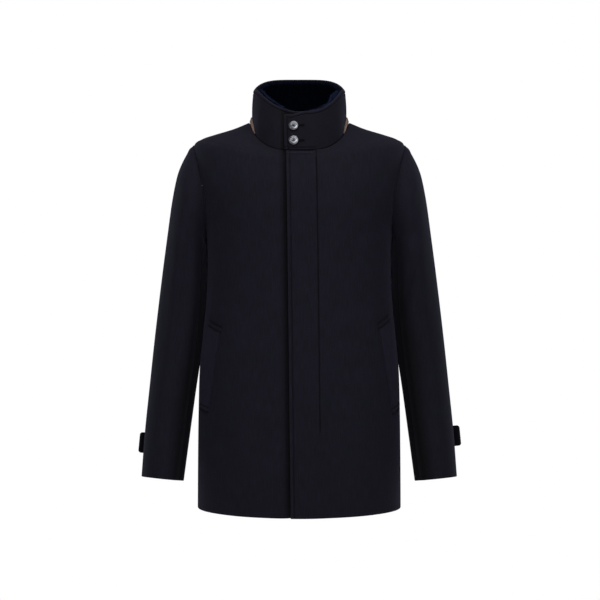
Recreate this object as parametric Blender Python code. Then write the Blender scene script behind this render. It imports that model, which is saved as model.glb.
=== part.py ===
"""A short wool coat, hollow as it is worn: a buttoned stand collar with a pile lining, a covered front,
slanted welt pockets, two-piece sleeves and a strap at each cuff.

Metres. The wearer faces -Y and their left side is +X. The origin lies midway between the neck points,
where the shoulder seams meet the collar, so the coat hangs from it and the hem is below zero.
Pieces that come in pairs are worked out for the left side and mirrored for the right.
"""

import math
from collections import namedtuple

import bmesh
import bpy
import numpy as np
from mathutils import Vector

# Cloth thicknesses and the gap left at every seam
CLOTH = 0.0024
COLLAR_CLOTH = 0.0040
PILE = 0.0050
BAND_CLOTH = 0.0015
SEAM_GAP = 0.0003
LAID_GAP = 1.5 * SEAM_GAP

# Body sections from hem to neck. Each is a closed outline round the body.
# level: height at the side or on the shoulder. front, back: depth from the side line.
# drop: how far the centre front hangs below the level. rise: how far the centre back stands above it.
# power: 2 is an ellipse, more is squarer.
Section = namedtuple("Section", "level half_width front back drop rise power")
BODY = [
    Section(-0.7855, 0.2075, 0.1430, 0.1440, 0.0065, 0.0000, 2.35),
    Section(-0.6900, 0.2070, 0.1420, 0.1445, 0.0040, 0.0000, 2.35),
    Section(-0.6000, 0.2060, 0.1405, 0.1425, 0.0030, 0.0000, 2.35),
    Section(-0.5050, 0.2035, 0.1385, 0.1370, 0.0020, 0.0000, 2.35),
    Section(-0.4300, 0.1965, 0.1365, 0.1290, 0.0010, 0.0000, 2.35),
    Section(-0.3630, 0.1900, 0.1350, 0.1230, 0.0000, 0.0000, 2.35),
    Section(-0.2950, 0.1875, 0.1355, 0.1220, 0.0000, 0.0000, 2.35),
    Section(-0.2350, 0.1893, 0.1370, 0.1255, 0.0000, 0.0000, 2.35),
    Section(-0.1850, 0.2000, 0.1375, 0.1290, 0.0030, 0.0000, 2.35),
    Section(-0.1300, 0.2125, 0.1340, 0.1285, 0.0130, 0.0010, 2.30),
    Section(-0.0850, 0.2180, 0.1280, 0.1210, 0.0300, 0.0050, 2.25),
    Section(-0.0470, 0.2150, 0.1215, 0.1070, 0.0500, 0.0100, 2.20),
    Section(-0.0340, 0.1990, 0.1190, 0.1000, 0.0550, 0.0120, 2.15),
    Section(-0.0255, 0.1750, 0.1162, 0.0930, 0.0565, 0.0135, 2.10),
    Section(-0.0130, 0.1340, 0.1113, 0.0815, 0.0610, 0.0135, 2.10),
    Section(0.0000, 0.1025, 0.1060, 0.0720, 0.0655, 0.0120, 2.10),
]
UNDERARM_ROW = 7
SHOULDER_ROW = 11
NECK_ROW = len(BODY) - 1
FRONT_DIP = 1.5

# How an edge dips from the side (ahead 0) to the centre front (1): level up to start, then a slope
# that runs on for reach, with rounded bends
Dip = namedtuple("Dip", "start reach")
NECK_DIP = Dip(0.20, 0.72)
RIM_DIP_LEFT = Dip(0.32, 0.62)
RIM_DIP_RIGHT = Dip(0.40, 1.18)
DIP_BEND = 0.15

# Armhole, an oval seen from the side between the underarm and the shoulder point
ARMHOLE_FRONT = 0.0640
ARMHOLE_BACK = 0.0700

# Front opening: the left front laps over the right one past the centre line
OVER_LAP_HEM = 0.0165
OVER_LAP_NECK = 0.0260
UNDER_LAP = 0.0300
LAP_RAMP = 0.0300
LAP_TUCK = CLOTH + 3 * SEAM_GAP

# Sleeve rings from armhole to cuff, by the outermost and innermost points of each.
# front_lift: how far the ring's front edge is raised as the sleeve swings forward.
Ring = namedtuple("Ring", "outer_x outer_z inner_x inner_z half_depth middle_y front_lift")
SLEEVE = [
    Ring(0.2150, -0.0470, 0.1898, -0.2350, 0.0670, 0.0000, 0.0000),
    Ring(0.2280, -0.0560, 0.1905, -0.2385, 0.0715, 0.0010, 0.0000),
    Ring(0.2405, -0.0800, 0.1910, -0.2425, 0.0770, 0.0020, 0.0000),
    Ring(0.2507, -0.1130, 0.1914, -0.2480, 0.0780, 0.0030, 0.0000),
    Ring(0.2605, -0.1620, 0.1917, -0.2580, 0.0780, 0.0045, 0.0000),
    Ring(0.2695, -0.2260, 0.1919, -0.2760, 0.0765, 0.0060, 0.0000),
    Ring(0.2795, -0.3000, 0.1924, -0.3180, 0.0735, 0.0080, 0.0000),
    Ring(0.2890, -0.3760, 0.1945, -0.3900, 0.0690, 0.0090, 0.0005),
    Ring(0.2980, -0.4550, 0.2016, -0.4660, 0.0650, 0.0070, 0.0015),
    Ring(0.3065, -0.5400, 0.2120, -0.5500, 0.0610, 0.0010, 0.0030),
    Ring(0.3150, -0.6300, 0.2236, -0.6390, 0.0575, -0.0080, 0.0045),
    Ring(0.3212, -0.7225, 0.2355, -0.7315, 0.0545, -0.0180, 0.0055),
]
CAP_ROWS = 3.0
SEAM_ROWS = 0.6
FIRST_ROW = 0.2
UNDERARM_SHARE = 0.45
FRONT_SEAM = math.radians(150)
BACK_SEAM = math.radians(285)

# Soft folds pressed into each sleeve. turn is degrees round it, 0 outside and 90 in front.
# top, bottom: the stretch in sleeve rows. width: half the fold's width in degrees.
# lean: degrees it turns on its way down. A negative depth is a ridge.
Fold = namedtuple("Fold", "turn top bottom width lean depth")
SLEEVE_FOLDS = [
    Fold(112, 3.2, 9.4, 20, -14, 0.0048),
    Fold(48, 4.6, 9.0, 17, 12, 0.0026),
    Fold(206, 2.8, 7.4, 20, 0, -0.0070),
    Fold(206, 5.2, 9.2, 20, 0, -0.0055),
    Fold(262, 4.2, 9.2, 22, 10, 0.0042),
    Fold(318, 5.0, 8.6, 17, -8, 0.0024),
]
FOLD_FADE = 1.5

# Stand collar: the rim's outline and height, and how the base steps in to make room for the band
RIM_HALF_WIDTH = 0.0935
RIM_FRONT = 0.0850
RIM_BACK = 0.0570
RIM_SIDE_Z = 0.0670
RIM_FRONT_DROP = 0.0520
RIM_BACK_RISE = 0.0300
RIM_CORNER = 0.38
RIM_CORNER_POWER = 1.5
COLLAR_BULGE = 0.0015
BASE_STEP = 0.0060
BASE_STEP_NARROWS = math.radians(18)
BASE_STEP_ENDS = math.radians(38)
COLLAR_OVER_LAP = 0.0305
COLLAR_UNDER_LAP = 0.0260
COLLAR_TUCK = COLLAR_CLOTH + 2 * SEAM_GAP
COLLAR_RAMP = 0.0360
COLLAR_SLANT = math.radians(5.2)
COLLAR_SLANT_REACH = math.radians(45)
CORNER_DROP = 0.0105
CORNER_REACH = 0.0460
BASE_LEVEL_SHARE = 0.3

# Pile lining of the collar, which stops short of both collar ends, leans in at the top
# and rolls further in at the left side
PILE_END_RIGHT = math.radians(104)
PILE_END_LEFT = math.radians(360 + 74)
PILE_FOOT = 0.06
PILE_LEAN = 0.0040
PILE_LEANS_FROM = 0.35
ROLL_TURN = math.radians(360 + 29)
ROLL_HALF = math.radians(12)
ROLL_IN = 0.0080
ROLL_FROM = 0.25
ROLL_RISE = 0.50
# The height the pile reaches: degrees round the collar, share of the collar's own height
PileTop = namedtuple("PileTop", "turn share")
PILE_TOPS = [
    PileTop(104, 1.030),
    PileTop(112, 1.075),
    PileTop(128, 1.070),
    PileTop(148, 1.045),
    PileTop(168, 1.000),
    PileTop(190, 0.965),
    PileTop(350, 0.965),
    PileTop(380, 1.000),
    PileTop(400, 1.020),
    PileTop(414, 1.040),
    PileTop(434, 1.030),
]

# Band under the collar, round the back from one side to the other
BAND_HEIGHT = 0.17
BAND_TIP = math.radians(30)
BAND_TAPER = 0.85
BAND_CURVE = 0.8

# Welt pockets: corners as degrees forward of the side line and height
Corner = namedtuple("Corner", "forward level")
Welt = namedtuple("Welt", "top_front top_back foot_front foot_back")
WELTS = {
    "left": Welt(Corner(31.6, -0.4090), Corner(18.6, -0.3890), Corner(21.3, -0.5920), Corner(9.0, -0.5780)),
    "right": Welt(Corner(32.3, -0.4160), Corner(18.6, -0.4005), Corner(23.7, -0.5890), Corner(10.4, -0.5800)),
}
WELT_CLOTH = 0.0022

# Buttons
BUTTON_RADIUS = 0.0095
BUTTON_THICK = 0.0030
BUTTON_SIDES = 16
HOLE_SIDES = 6
BUTTON_STAND = 0.0014
SHANK_RADIUS = 0.0026
HOLE_RADIUS = 0.0010
HOLE_OFFSET = 0.0018
HOLE_DEPTH = 0.0020
# Button section from its edge to its middle: share of the radius, share of the thickness
Turned = namedtuple("Turned", "radius height")
BUTTON_SECTION = [
    Turned(0.72, 0.00),
    Turned(1.00, 0.38),
    Turned(0.80, 0.86),
    Turned(0.52, 1.00),
    Turned(0.34, 0.76),
    Turned(0.00, 0.62),
]
COLLAR_BUTTON_X = -0.0113
COLLAR_BUTTON_HEIGHTS = {"upper": -0.0165, "lower": -0.0462}

# Cuff straps, wrapped round the back of each sleeve with the tip standing off its outer side
# row: the strap's middle in sleeve rows. free: length of the tip beyond where it leaves the cloth.
Strap = namedtuple("Strap", "side row free")
STRAPS = {"left": Strap(1, 10.12, 0.0464), "right": Strap(-1, 10.27, 0.0424)}
STRAP_CLOTH = 0.0030
STRAP_HALF_WIDTH = 0.0210
SLEEVE_ROW_LENGTH = 0.0930
STRAP_FROM = math.radians(212)
STRAP_LEAVES = math.radians(300)
STRAP_CORNER = 0.0060
STRAP_BUTTON_TURN = math.radians(288)

# Mesh density
HEM_ROWS = 10
ARMHOLE_ROWS = 12
SHOULDER_ROWS = 6
FRONT_LEFT_COLUMNS = 13
FRONT_RIGHT_COLUMNS = 14
BACK_COLUMNS = 20
SLEEVE_STEPS = 18
COLLAR_ROWS = 5
PILE_ROWS = 5
BAND_ROWS = 3
WELT_ROWS = 8
WELT_COLUMNS = 3
STRAP_ROWS = 4
STRAP_COLUMNS = 7

# Colours, linear
NAVY = (0.0100, 0.0092, 0.0150, 1.0)
PILE_NAVY = (0.0040, 0.0050, 0.0130, 1.0)
TAN = (0.2200, 0.1400, 0.1050, 1.0)
SHELL_GREY = (0.3600, 0.3900, 0.5000, 1.0)
FLAT = np.array([1.0, 1.0, 0.0])
STEP = 1e-4


def material(name, colour, roughness):
    """A plain surface for one kind of piece."""
    made = bpy.data.materials.new(name)
    made.use_nodes = True
    shader = made.node_tree.nodes["Principled BSDF"]
    shader.inputs["Base Color"].default_value = colour
    shader.inputs["Roughness"].default_value = roughness
    shader.inputs["Metallic"].default_value = 0.0
    return made


def smooth(x):
    """0 below 0, 1 above 1, and a soft step between."""
    x = np.clip(x, 0.0, 1.0)
    return x * x * (3.0 - 2.0 * x)


def along(table, column, at):
    """A column's value at a row position, on a smooth curve through the table's rows."""
    values = np.array([getattr(row, column) for row in table])
    at = np.clip(np.asarray(at, float), 0, len(values) - 1)
    first = np.minimum(at.astype(int), len(values) - 2)
    t = at - first
    padded = np.concatenate([[2 * values[0] - values[1]], values, [2 * values[-1] - values[-2]]])
    a, b, c, d = (padded[first + k] for k in range(4))
    return 0.5 * (2 * b + (c - a) * t + (2 * a - 5 * b + 4 * c - d) * t**2 + (3 * b - a - 3 * c + d) * t**3)


def unit(vectors):
    return vectors / np.linalg.norm(vectors, axis=-1, keepdims=True)


def normals(surface, u, v):
    """Outward unit normals of a surface whose first value runs up it and second runs round it."""
    up = surface(u + STEP, v) - surface(u - STEP, v)
    round_it = surface(u, v + STEP) - surface(u, v - STEP)
    return unit(np.cross(up, round_it))


def mirrored(points, side):
    return points * np.array([side, 1.0, 1.0])


# The body's surface


def body(row, turn):
    """The outer surface. row counts sections from the hem; turn is 0 at the left side, 90 in front."""
    row, turn = np.broadcast_arrays(np.asarray(row, float), np.asarray(turn, float))
    side, ahead = np.cos(turn), np.sin(turn)
    in_front = ahead > 0
    depth = np.where(in_front, along(BODY, "front", row), along(BODY, "back", row))
    power = along(BODY, "power", row)
    across = np.abs(side) / along(BODY, "half_width", row)
    reach = (across**power + (np.abs(ahead) / depth) ** power) ** (-1 / power)
    hang = np.where(
        in_front,
        -along(BODY, "drop", row) * front_dip(row, np.abs(ahead)),
        along(BODY, "rise", row) * ahead**2,
    )
    return np.stack([reach * side, -reach * ahead, along(BODY, "level", row) + hang], axis=-1)


def dipped(dip, ahead):
    """Share of an edge's drop, from the side (ahead 0) to the centre front (1)."""

    def fallen(at):
        share = (at - dip.start) / dip.reach
        return np.hypot(share, DIP_BEND) - np.hypot(share - 1, DIP_BEND)

    return (fallen(ahead) - fallen(0.0)) / (fallen(1.0) - fallen(0.0))


def front_dip(row, ahead):
    """Share of a body section's drop at this distance ahead."""
    at_neck = smooth((row - SHOULDER_ROW) / (NECK_ROW - SHOULDER_ROW))
    plain = ahead**FRONT_DIP
    return plain + (dipped(NECK_DIP, ahead) - plain) * at_neck


def row_at(level):
    """The body row whose side height is level."""
    rows = np.linspace(0, NECK_ROW, 40 * NECK_ROW + 1)
    return np.interp(level, along(BODY, "level", rows), rows)


def turn_at_depth(row, depth, column):
    """How far from the side line, in radians, the section reaches this depth."""
    power = along(BODY, "power", row)
    share = np.clip(depth / along(BODY, column, row), 0, 1)
    across = along(BODY, "half_width", row) * (1 - share**power) ** (1 / power)
    return np.arctan2(depth, across)


def turn_past_centre(row, lap):
    """The turn of the point that lies lap past the centre front, for a left front."""
    power = along(BODY, "power", row)
    share = np.abs(lap) / along(BODY, "half_width", row)
    ahead = along(BODY, "front", row) * (1 - share**power) ** (1 / power)
    return np.arctan2(ahead, -lap)


def armhole_row_and_depth(turn):
    """Body row and depth share of the armhole's edge; turn is 0 on the shoulder, 180 degrees underarm."""
    low, high = BODY[UNDERARM_ROW].level, BODY[SHOULDER_ROW].level
    return row_at((low + high) / 2 + (high - low) / 2 * np.cos(turn)), np.abs(np.sin(turn))


def armhole(turn):
    """Edge points of the left armhole; turn is 90 degrees in front and 270 behind."""
    turn = np.asarray(turn, float)
    row, share = armhole_row_and_depth(turn)
    in_front = np.sin(turn) >= 0
    ahead = turn_at_depth(row, share * ARMHOLE_FRONT, "front")
    behind = -turn_at_depth(row, share * ARMHOLE_BACK, "back")
    angle = np.where(in_front, ahead, behind)
    return body(row, angle), normals(body, row, angle)


def panel_rows():
    """Row positions of a body panel from hem to neck: along its middle, along its armhole side,
    and the armhole's depth share at each."""
    below = np.linspace(0, UNDERARM_ROW, HEM_ROWS + 1)[:-1]
    beside, share = armhole_row_and_depth(np.linspace(math.pi, 0, ARMHOLE_ROWS + 1))
    above = np.linspace(SHOULDER_ROW, NECK_ROW, SHOULDER_ROWS + 1)[1:]
    even = np.linspace(UNDERARM_ROW, SHOULDER_ROW, ARMHOLE_ROWS + 1)
    middle = np.concatenate([below, even, above])
    edge = np.concatenate([below, beside, above])
    shares = np.concatenate([np.zeros(len(below)), share, np.zeros(len(above))])
    return middle[:, None], edge[:, None], shares[:, None]


def half_gap(row, turn):
    """The turn that half a seam's gap takes up."""
    reach = np.linalg.norm(body(row, turn)[..., :2], axis=-1)
    return SEAM_GAP / 2 / reach


# Solids


def solid(name, mesh, surface):
    """Puts a closed mesh into the scene as one named piece."""
    bmesh.ops.recalc_face_normals(mesh, faces=mesh.faces)
    data = bpy.data.meshes.new(name)
    mesh.to_mesh(data)
    mesh.free()
    data.shade_smooth()
    data.set_sharp_from_angle(angle=math.radians(35))
    data.materials.append(surface)
    made = bpy.data.objects.new(name, data)
    bpy.context.scene.collection.objects.link(made)
    return made


def wall(name, outside, inside, surface):
    """A closed sheet between two grids of points."""
    mesh = bmesh.new()
    rows, columns = outside.shape[:2]
    layers = [[[mesh.verts.new(p) for p in line] for line in grid] for grid in (outside, inside)]
    for layer in layers:
        for i in range(rows - 1):
            for j in range(columns - 1):
                mesh.faces.new((layer[i][j], layer[i][j + 1], layer[i + 1][j + 1], layer[i + 1][j]))
    rim = [(0, j) for j in range(columns)] + [(i, columns - 1) for i in range(1, rows)]
    rim += [(rows - 1, j) for j in range(columns - 2, -1, -1)] + [(i, 0) for i in range(rows - 2, 0, -1)]
    for (i, j), (k, m) in zip(rim, rim[1:] + rim[:1]):
        mesh.faces.new((layers[0][i][j], layers[0][k][m], layers[1][k][m], layers[1][i][j]))
    return solid(name, mesh, surface)


# Fronts and back


def over_lap(row):
    """How far past the centre line the left front's edge lies."""
    height = 1 - along(BODY, "level", row) / BODY[0].level
    return OVER_LAP_HEM + (OVER_LAP_NECK - OVER_LAP_HEM) * height


def under_lap(row):
    """How far past the centre line the right front's edge lies, the same at all heights."""
    return np.full_like(row, UNDER_LAP)


def front_grid(lap, columns):
    """Row and turn of each point of a left front, from its opening edge to its side."""
    middle, edge, shares = panel_rows()
    opening = turn_past_centre(middle, lap(middle))
    outer = turn_at_depth(edge, shares * ARMHOLE_FRONT, "front")
    outer = outer + half_gap(edge, outer)
    shift = np.linspace(0, 1, columns + 1)[None, :]
    return middle + (edge - middle) * shift, opening + (outer - opening) * shift


def make_front_left(cloth):
    rows, turns = front_grid(over_lap, FRONT_LEFT_COLUMNS)
    points, out = body(rows, turns), normals(body, rows, turns)
    return wall("front_left", points, points - CLOTH * out, cloth)


def lap_tuck(x, row):
    """How far the right front dips to pass under the left one; x is measured towards the wearer's right.
    Near the neck it dips as far as the collar sewn to it."""
    at_neck = smooth((row - SHOULDER_ROW) / (NECK_ROW - SHOULDER_ROW))
    below = LAP_TUCK * smooth((over_lap(row) + LAP_RAMP - x) / LAP_RAMP)
    return below + (collar_tuck(x) - below) * at_neck


def collar_tuck(x):
    """How far the collar's right end and the neck seam below it dip to pass under the left end."""
    return COLLAR_TUCK * smooth((COLLAR_OVER_LAP + COLLAR_RAMP - x) / COLLAR_RAMP)


def make_front_right(cloth):
    rows, turns = front_grid(under_lap, FRONT_RIGHT_COLUMNS)
    points, out = body(rows, turns), normals(body, rows, turns)
    points = points - lap_tuck(points[..., 0], rows)[..., None] * unit(out * FLAT)
    inside = points - CLOTH * out
    return wall("front_right", mirrored(points, -1), mirrored(inside, -1), cloth)


def make_back(cloth):
    middle, edge, shares = panel_rows()
    outer = turn_at_depth(edge, shares * ARMHOLE_BACK, "back")
    outer = outer + half_gap(edge, -outer)
    shift = np.linspace(0, 1, BACK_COLUMNS + 1)[None, :]
    turns = -outer - (math.pi - 2 * outer) * shift
    rows = edge + (middle - edge) * 4 * shift * (1 - shift)
    points, out = body(rows, turns), normals(body, rows, turns)
    return wall("back", points, points - CLOTH * out, cloth)


# Sleeves


def fold_depth(row, turn):
    """How deep the soft folds press into a sleeve."""
    depth = np.zeros(np.broadcast(row, turn).shape)
    for fold in SLEEVE_FOLDS:
        share = (row - fold.top) / (fold.bottom - fold.top)
        centre = fold.turn + fold.lean * share
        away = (np.degrees(turn) - centre + 180) % 360 - 180
        along_it = np.sin(np.pi * np.clip(share, 0, 1)) ** FOLD_FADE
        depth = depth + fold.depth * along_it * np.exp(-((away / fold.width) ** 2))
    return depth


def plain_sleeve(row, turn):
    """A left sleeve with no folds. row counts rings from the armhole; turn is 0 outside, 90 in front."""
    row, turn = np.broadcast_arrays(np.asarray(row, float), np.asarray(turn, float))
    outer = np.stack([along(SLEEVE, "outer_x", row), 0 * row, along(SLEEVE, "outer_z", row)], axis=-1)
    inner = np.stack([along(SLEEVE, "inner_x", row), 0 * row, along(SLEEVE, "inner_z", row)], axis=-1)
    ring = (outer + inner) / 2 + (outer - inner) / 2 * np.cos(turn)[..., None]
    ring[..., 1] = along(SLEEVE, "middle_y", row) - along(SLEEVE, "half_depth", row) * np.sin(turn)
    ring[..., 2] += along(SLEEVE, "front_lift", row) * np.sin(turn)
    start = sleeve_start(turn)
    share = smooth(row / CAP_ROWS)[..., None]
    return start + (ring - start) * share


def sleeve_start(turn):
    """The sleeve's first ring: the armhole's edge, a seam's gap into the hole and clear of the underarm."""
    edge, out = armhole(turn)
    ahead, behind = armhole(turn + STEP)[0], armhole(turn - STEP)[0]
    inward = unit(np.cross(out, ahead - behind))
    middle = (armhole(0.0)[0] + armhole(math.pi)[0]) / 2
    towards = np.sign(np.sum(inward * (middle - edge), axis=-1, keepdims=True))
    underarm = smooth((-np.cos(turn) - 1 + UNDERARM_SHARE) / UNDERARM_SHARE)[..., None]
    return edge + SEAM_GAP * towards * inward + LAID_GAP * underarm * out


def sleeve_normals(row, turn):
    """Outward normals. At the seam they lean to the body's, except where the sleeve folds back underarm."""
    out = -normals(plain_sleeve, row, turn)
    seam = armhole(turn)[1]
    agree = smooth(np.sum(out * seam, axis=-1, keepdims=True) / math.cos(math.radians(45)))
    at_seam = smooth(1 - row / SEAM_ROWS)[..., None] * agree
    return unit(out * (1 - at_seam) + seam * at_seam)


def sleeve(row, turn):
    """A left sleeve's outer surface with its folds, and its outward normals."""
    row, turn = np.broadcast_arrays(np.asarray(row, float), np.asarray(turn, float))
    out = sleeve_normals(row, turn)
    return plain_sleeve(row, turn) - fold_depth(row, turn)[..., None] * out, out


def make_sleeve_piece(name, side, first, last, cloth):
    """One of a sleeve's two pieces, between two lengthwise seams, in step with the armhole's edge points."""
    columns = round((last - first) * ARMHOLE_ROWS / math.pi)
    rows = np.linspace(0, len(SLEEVE) - 1, SLEEVE_STEPS + 1)
    rows = np.concatenate([rows[:1], [FIRST_ROW], rows[1:]])[:, None]
    half_depth = along(SLEEVE, "half_depth", rows)
    gap = SEAM_GAP / 2 / half_depth
    turns = np.repeat(np.linspace(first, last, columns + 1)[None, :], len(rows), axis=0)
    turns[:, :1] += gap
    turns[:, -1:] -= gap
    rows = np.repeat(rows, columns + 1, axis=1)
    points, out = sleeve(rows, turns)
    return wall(name, mirrored(points, side), mirrored(points - CLOTH * out, side), cloth)


def make_sleeves(cloth):
    for name, side in (("left", 1), ("right", -1)):
        upper = (BACK_SEAM - 2 * math.pi, FRONT_SEAM)
        make_sleeve_piece(f"sleeve_{name}_upper", side, *upper, cloth)
        make_sleeve_piece(f"sleeve_{name}_under", side, FRONT_SEAM, BACK_SEAM, cloth)


# Collar


def flat_outward(turn):
    return np.stack([np.cos(turn), -np.sin(turn), 0 * turn], axis=-1)


def base_step(turn):
    """How far the collar's base stands in from the neck seam: nothing in front, most beside and behind."""
    forward = np.arcsin(np.clip(np.sin(turn), -1, 1))
    return BASE_STEP * smooth((BASE_STEP_ENDS - forward) / (BASE_STEP_ENDS - BASE_STEP_NARROWS))


def collar_base(turn):
    seam = body(NECK_ROW, turn)
    return seam - base_step(turn)[..., None] * flat_outward(turn) + np.array([0, 0, SEAM_GAP])


def collar_rim(turn):
    side, ahead = np.cos(turn), np.sin(turn)
    depth = np.where(ahead > 0, RIM_FRONT, RIM_BACK)
    reach = ((side / RIM_HALF_WIDTH) ** 2 + (ahead / depth) ** 2) ** -0.5
    level = np.abs(ahead)
    dip = RIM_FRONT_DROP * np.where(side > 0, dipped(RIM_DIP_LEFT, level), dipped(RIM_DIP_RIGHT, level))
    rise = RIM_BACK_RISE * (1 - np.exp(-((level / RIM_CORNER) ** RIM_CORNER_POWER)))
    return np.stack([reach * side, -reach * ahead, RIM_SIDE_Z + np.where(ahead > 0, -dip, rise)], axis=-1)


def collar_ends():
    """The turns at which the collar starts, under the lap, and ends, over it."""
    start = math.atan2(BODY[-1].front, COLLAR_UNDER_LAP)
    end = 2 * math.pi + math.atan2(BODY[-1].front, -COLLAR_OVER_LAP)
    return start, end


def collar_turns(first=-math.inf, last=math.inf):
    """The turns of the collar's columns between two turns: those of the panels along the neck seam."""
    right = math.pi - front_grid(under_lap, FRONT_RIGHT_COLUMNS)[1][-1, 1:-1]
    left = 2 * math.pi + front_grid(over_lap, FRONT_LEFT_COLUMNS)[1][-1, -2:0:-1]
    back = np.linspace(math.pi, 2 * math.pi, BACK_COLUMNS + 1)
    start, end = collar_ends()
    turns = np.concatenate([[start], right, back, left, [end]])
    return turns[(turns > first) & (turns < last)][None, :]


def rim_turn(turn):
    """Where a line up the collar meets the rim: further round near the over end, which so stands upright."""
    to_end = collar_ends()[1] - turn
    return turn + COLLAR_SLANT * smooth(1 - to_end / COLLAR_SLANT_REACH)


def collar(share, turn):
    """The collar's outer surface. share runs from base to rim, turn once round and on over its own start."""
    share, turn = np.broadcast_arrays(np.asarray(share, float), np.asarray(turn, float))
    base, rim = collar_base(turn), collar_rim(rim_turn(turn))
    past_side = smooth((rim[..., 0] * -1 + CORNER_REACH - COLLAR_OVER_LAP) / CORNER_REACH)
    rim[..., 2] -= np.where(turn > 2 * math.pi + 1, CORNER_DROP * past_side, 0)
    bulge = COLLAR_BULGE * np.sin(np.pi * np.clip(share, 0, 1))
    under = np.where(turn < math.pi, collar_tuck(-base[..., 0]), 0)
    shift = bulge - under
    return base + (rim - base) * share[..., None] + shift[..., None] * flat_outward(turn)


def make_collar(cloth):
    shares = np.linspace(0, 1, COLLAR_ROWS + 1)[:, None]
    turns = collar_turns()
    points, out = collar(shares, turns), normals(collar, shares, turns)
    flat = unit(out * FLAT)
    level = (1 - smooth(shares / BASE_LEVEL_SHARE))[..., None]
    inwards = unit(out * (1 - level) + flat * level)
    return wall("collar", points, points - COLLAR_CLOTH * inwards, cloth)


def pile_top(turn):
    """Share of the collar's height its pile reaches: short of the rim behind, above it at the front sides."""
    turns, tops = np.array(PILE_TOPS).T
    at = np.interp(np.degrees(turn), turns, np.arange(len(turns)))
    first = np.minimum(at.astype(int), len(turns) - 2)
    return tops[first] + (tops[first + 1] - tops[first]) * smooth(at - first)


def pile_inwards(share, turn):
    """How far the pile's outer side lies in from the collar's."""
    lean = PILE_LEAN * smooth((share - PILE_LEANS_FROM) / (1 - PILE_LEANS_FROM))
    roll = np.exp(-(((turn - ROLL_TURN) / ROLL_HALF) ** 2)) * smooth((share - ROLL_FROM) / ROLL_RISE)
    return COLLAR_CLOTH + SEAM_GAP + lean + ROLL_IN * roll


def make_collar_pile(pile):
    turns = collar_turns(PILE_END_RIGHT, PILE_END_LEFT)
    shares = PILE_FOOT + (pile_top(turns) - PILE_FOOT) * np.linspace(0, 1, PILE_ROWS + 1)[:, None]
    points, out = collar(shares, turns), normals(collar, shares, turns)
    outside = points - pile_inwards(shares, turns)[..., None] * out
    return wall("collar_pile", outside, outside - PILE * out, pile)


def make_collar_band(band):
    """The strip at the collar's foot, from a point in front of one shoulder round the back to the other."""
    shares = np.linspace(0, 1, BAND_ROWS + 1)[:, None]
    turns = collar_turns(math.pi - BAND_TIP, 2 * math.pi + BAND_TIP)
    forward = np.abs(turns - 1.5 * math.pi) - math.pi / 2
    height = BAND_HEIGHT * (1 - BAND_TAPER * smooth(forward / BAND_TIP))
    top = collar(height, turns) + (SEAM_GAP + BAND_CLOTH) * normals(collar, height, turns)
    foot = body(NECK_ROW, turns) + np.array([0, 0, SEAM_GAP]) - SEAM_GAP * flat_outward(turns)
    points = foot + (top - foot) * (shares[..., None] ** BAND_CURVE)
    inside = points - BAND_CLOTH * flat_outward(turns)
    return wall("collar_band", points, inside, band)


# Pockets


def make_welt(side_name, side, cloth):
    """A slanted welt lying on the front, made from the front's own points moved out."""
    down = np.linspace(0, 1, WELT_ROWS + 1)[:, None]
    across = np.linspace(0, 1, WELT_COLUMNS + 1)[None, :]
    welt = WELTS[side_name]

    def between(field):
        top = getattr(welt.top_front, field) * (1 - across) + getattr(welt.top_back, field) * across
        foot = getattr(welt.foot_front, field) * (1 - across) + getattr(welt.foot_back, field) * across
        return top * (1 - down) + foot * down

    rows, turns = row_at(between("level")), np.radians(between("forward"))
    out = normals(body, rows, turns)
    inside = body(rows, turns) + LAID_GAP * out
    outside = inside + WELT_CLOTH * out
    return wall(f"pocket_welt_{side_name}", mirrored(outside, side), mirrored(inside, side), cloth)


# Buttons and cuff straps


def make_button(name, seat, out, shell):
    """A four-hole button with a raised rim and a thread shank, turned about its axis and set on the cloth."""
    profile = [(0.0, SEAM_GAP), (SHANK_RADIUS, SEAM_GAP), (SHANK_RADIUS, BUTTON_STAND)]
    profile += [(p.radius * BUTTON_RADIUS, BUTTON_STAND + p.height * BUTTON_THICK) for p in BUTTON_SECTION]
    mesh = bmesh.new()
    points = [mesh.verts.new((r, 0, z)) for r, z in profile]
    edges = [mesh.edges.new(pair) for pair in zip(points, points[1:])]
    bmesh.ops.spin(
        mesh, geom=points + edges, axis=(0, 0, 1), cent=(0, 0, 0), steps=BUTTON_SIDES, angle=2 * math.pi
    )
    bmesh.ops.remove_doubles(mesh, verts=mesh.verts, dist=1e-6)
    made = solid(name, mesh, shell)
    made.location = seat
    made.rotation_mode = "QUATERNION"
    made.rotation_quaternion = Vector(out).to_track_quat("Z", "Y")
    drill_holes(made, name)
    return made


def drill_holes(button, name):
    """Sinks the four thread holes into the button's face."""
    mesh = bmesh.new()
    middle = BUTTON_STAND + BUTTON_SECTION[-1].height * BUTTON_THICK
    for k in range(4):
        angle = math.pi / 4 + k * math.pi / 2
        made = bmesh.ops.create_cone(
            mesh,
            cap_ends=True,
            segments=HOLE_SIDES,
            radius1=HOLE_RADIUS,
            radius2=HOLE_RADIUS,
            depth=HOLE_DEPTH,
        )
        centre = (HOLE_OFFSET * math.cos(angle), HOLE_OFFSET * math.sin(angle), middle)
        bmesh.ops.translate(mesh, verts=made["verts"], vec=centre)
    data = bpy.data.meshes.new(name + "_holes")
    mesh.to_mesh(data)
    mesh.free()
    cutter = bpy.data.objects.new(name + "_holes", data)
    bpy.context.scene.collection.objects.link(cutter)
    cutter.parent = button
    cutter.hide_render = True
    cutter.display_type = "WIRE"
    cut = button.modifiers.new("holes", "BOOLEAN")
    cut.operation = "DIFFERENCE"
    cut.object = cutter


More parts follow.
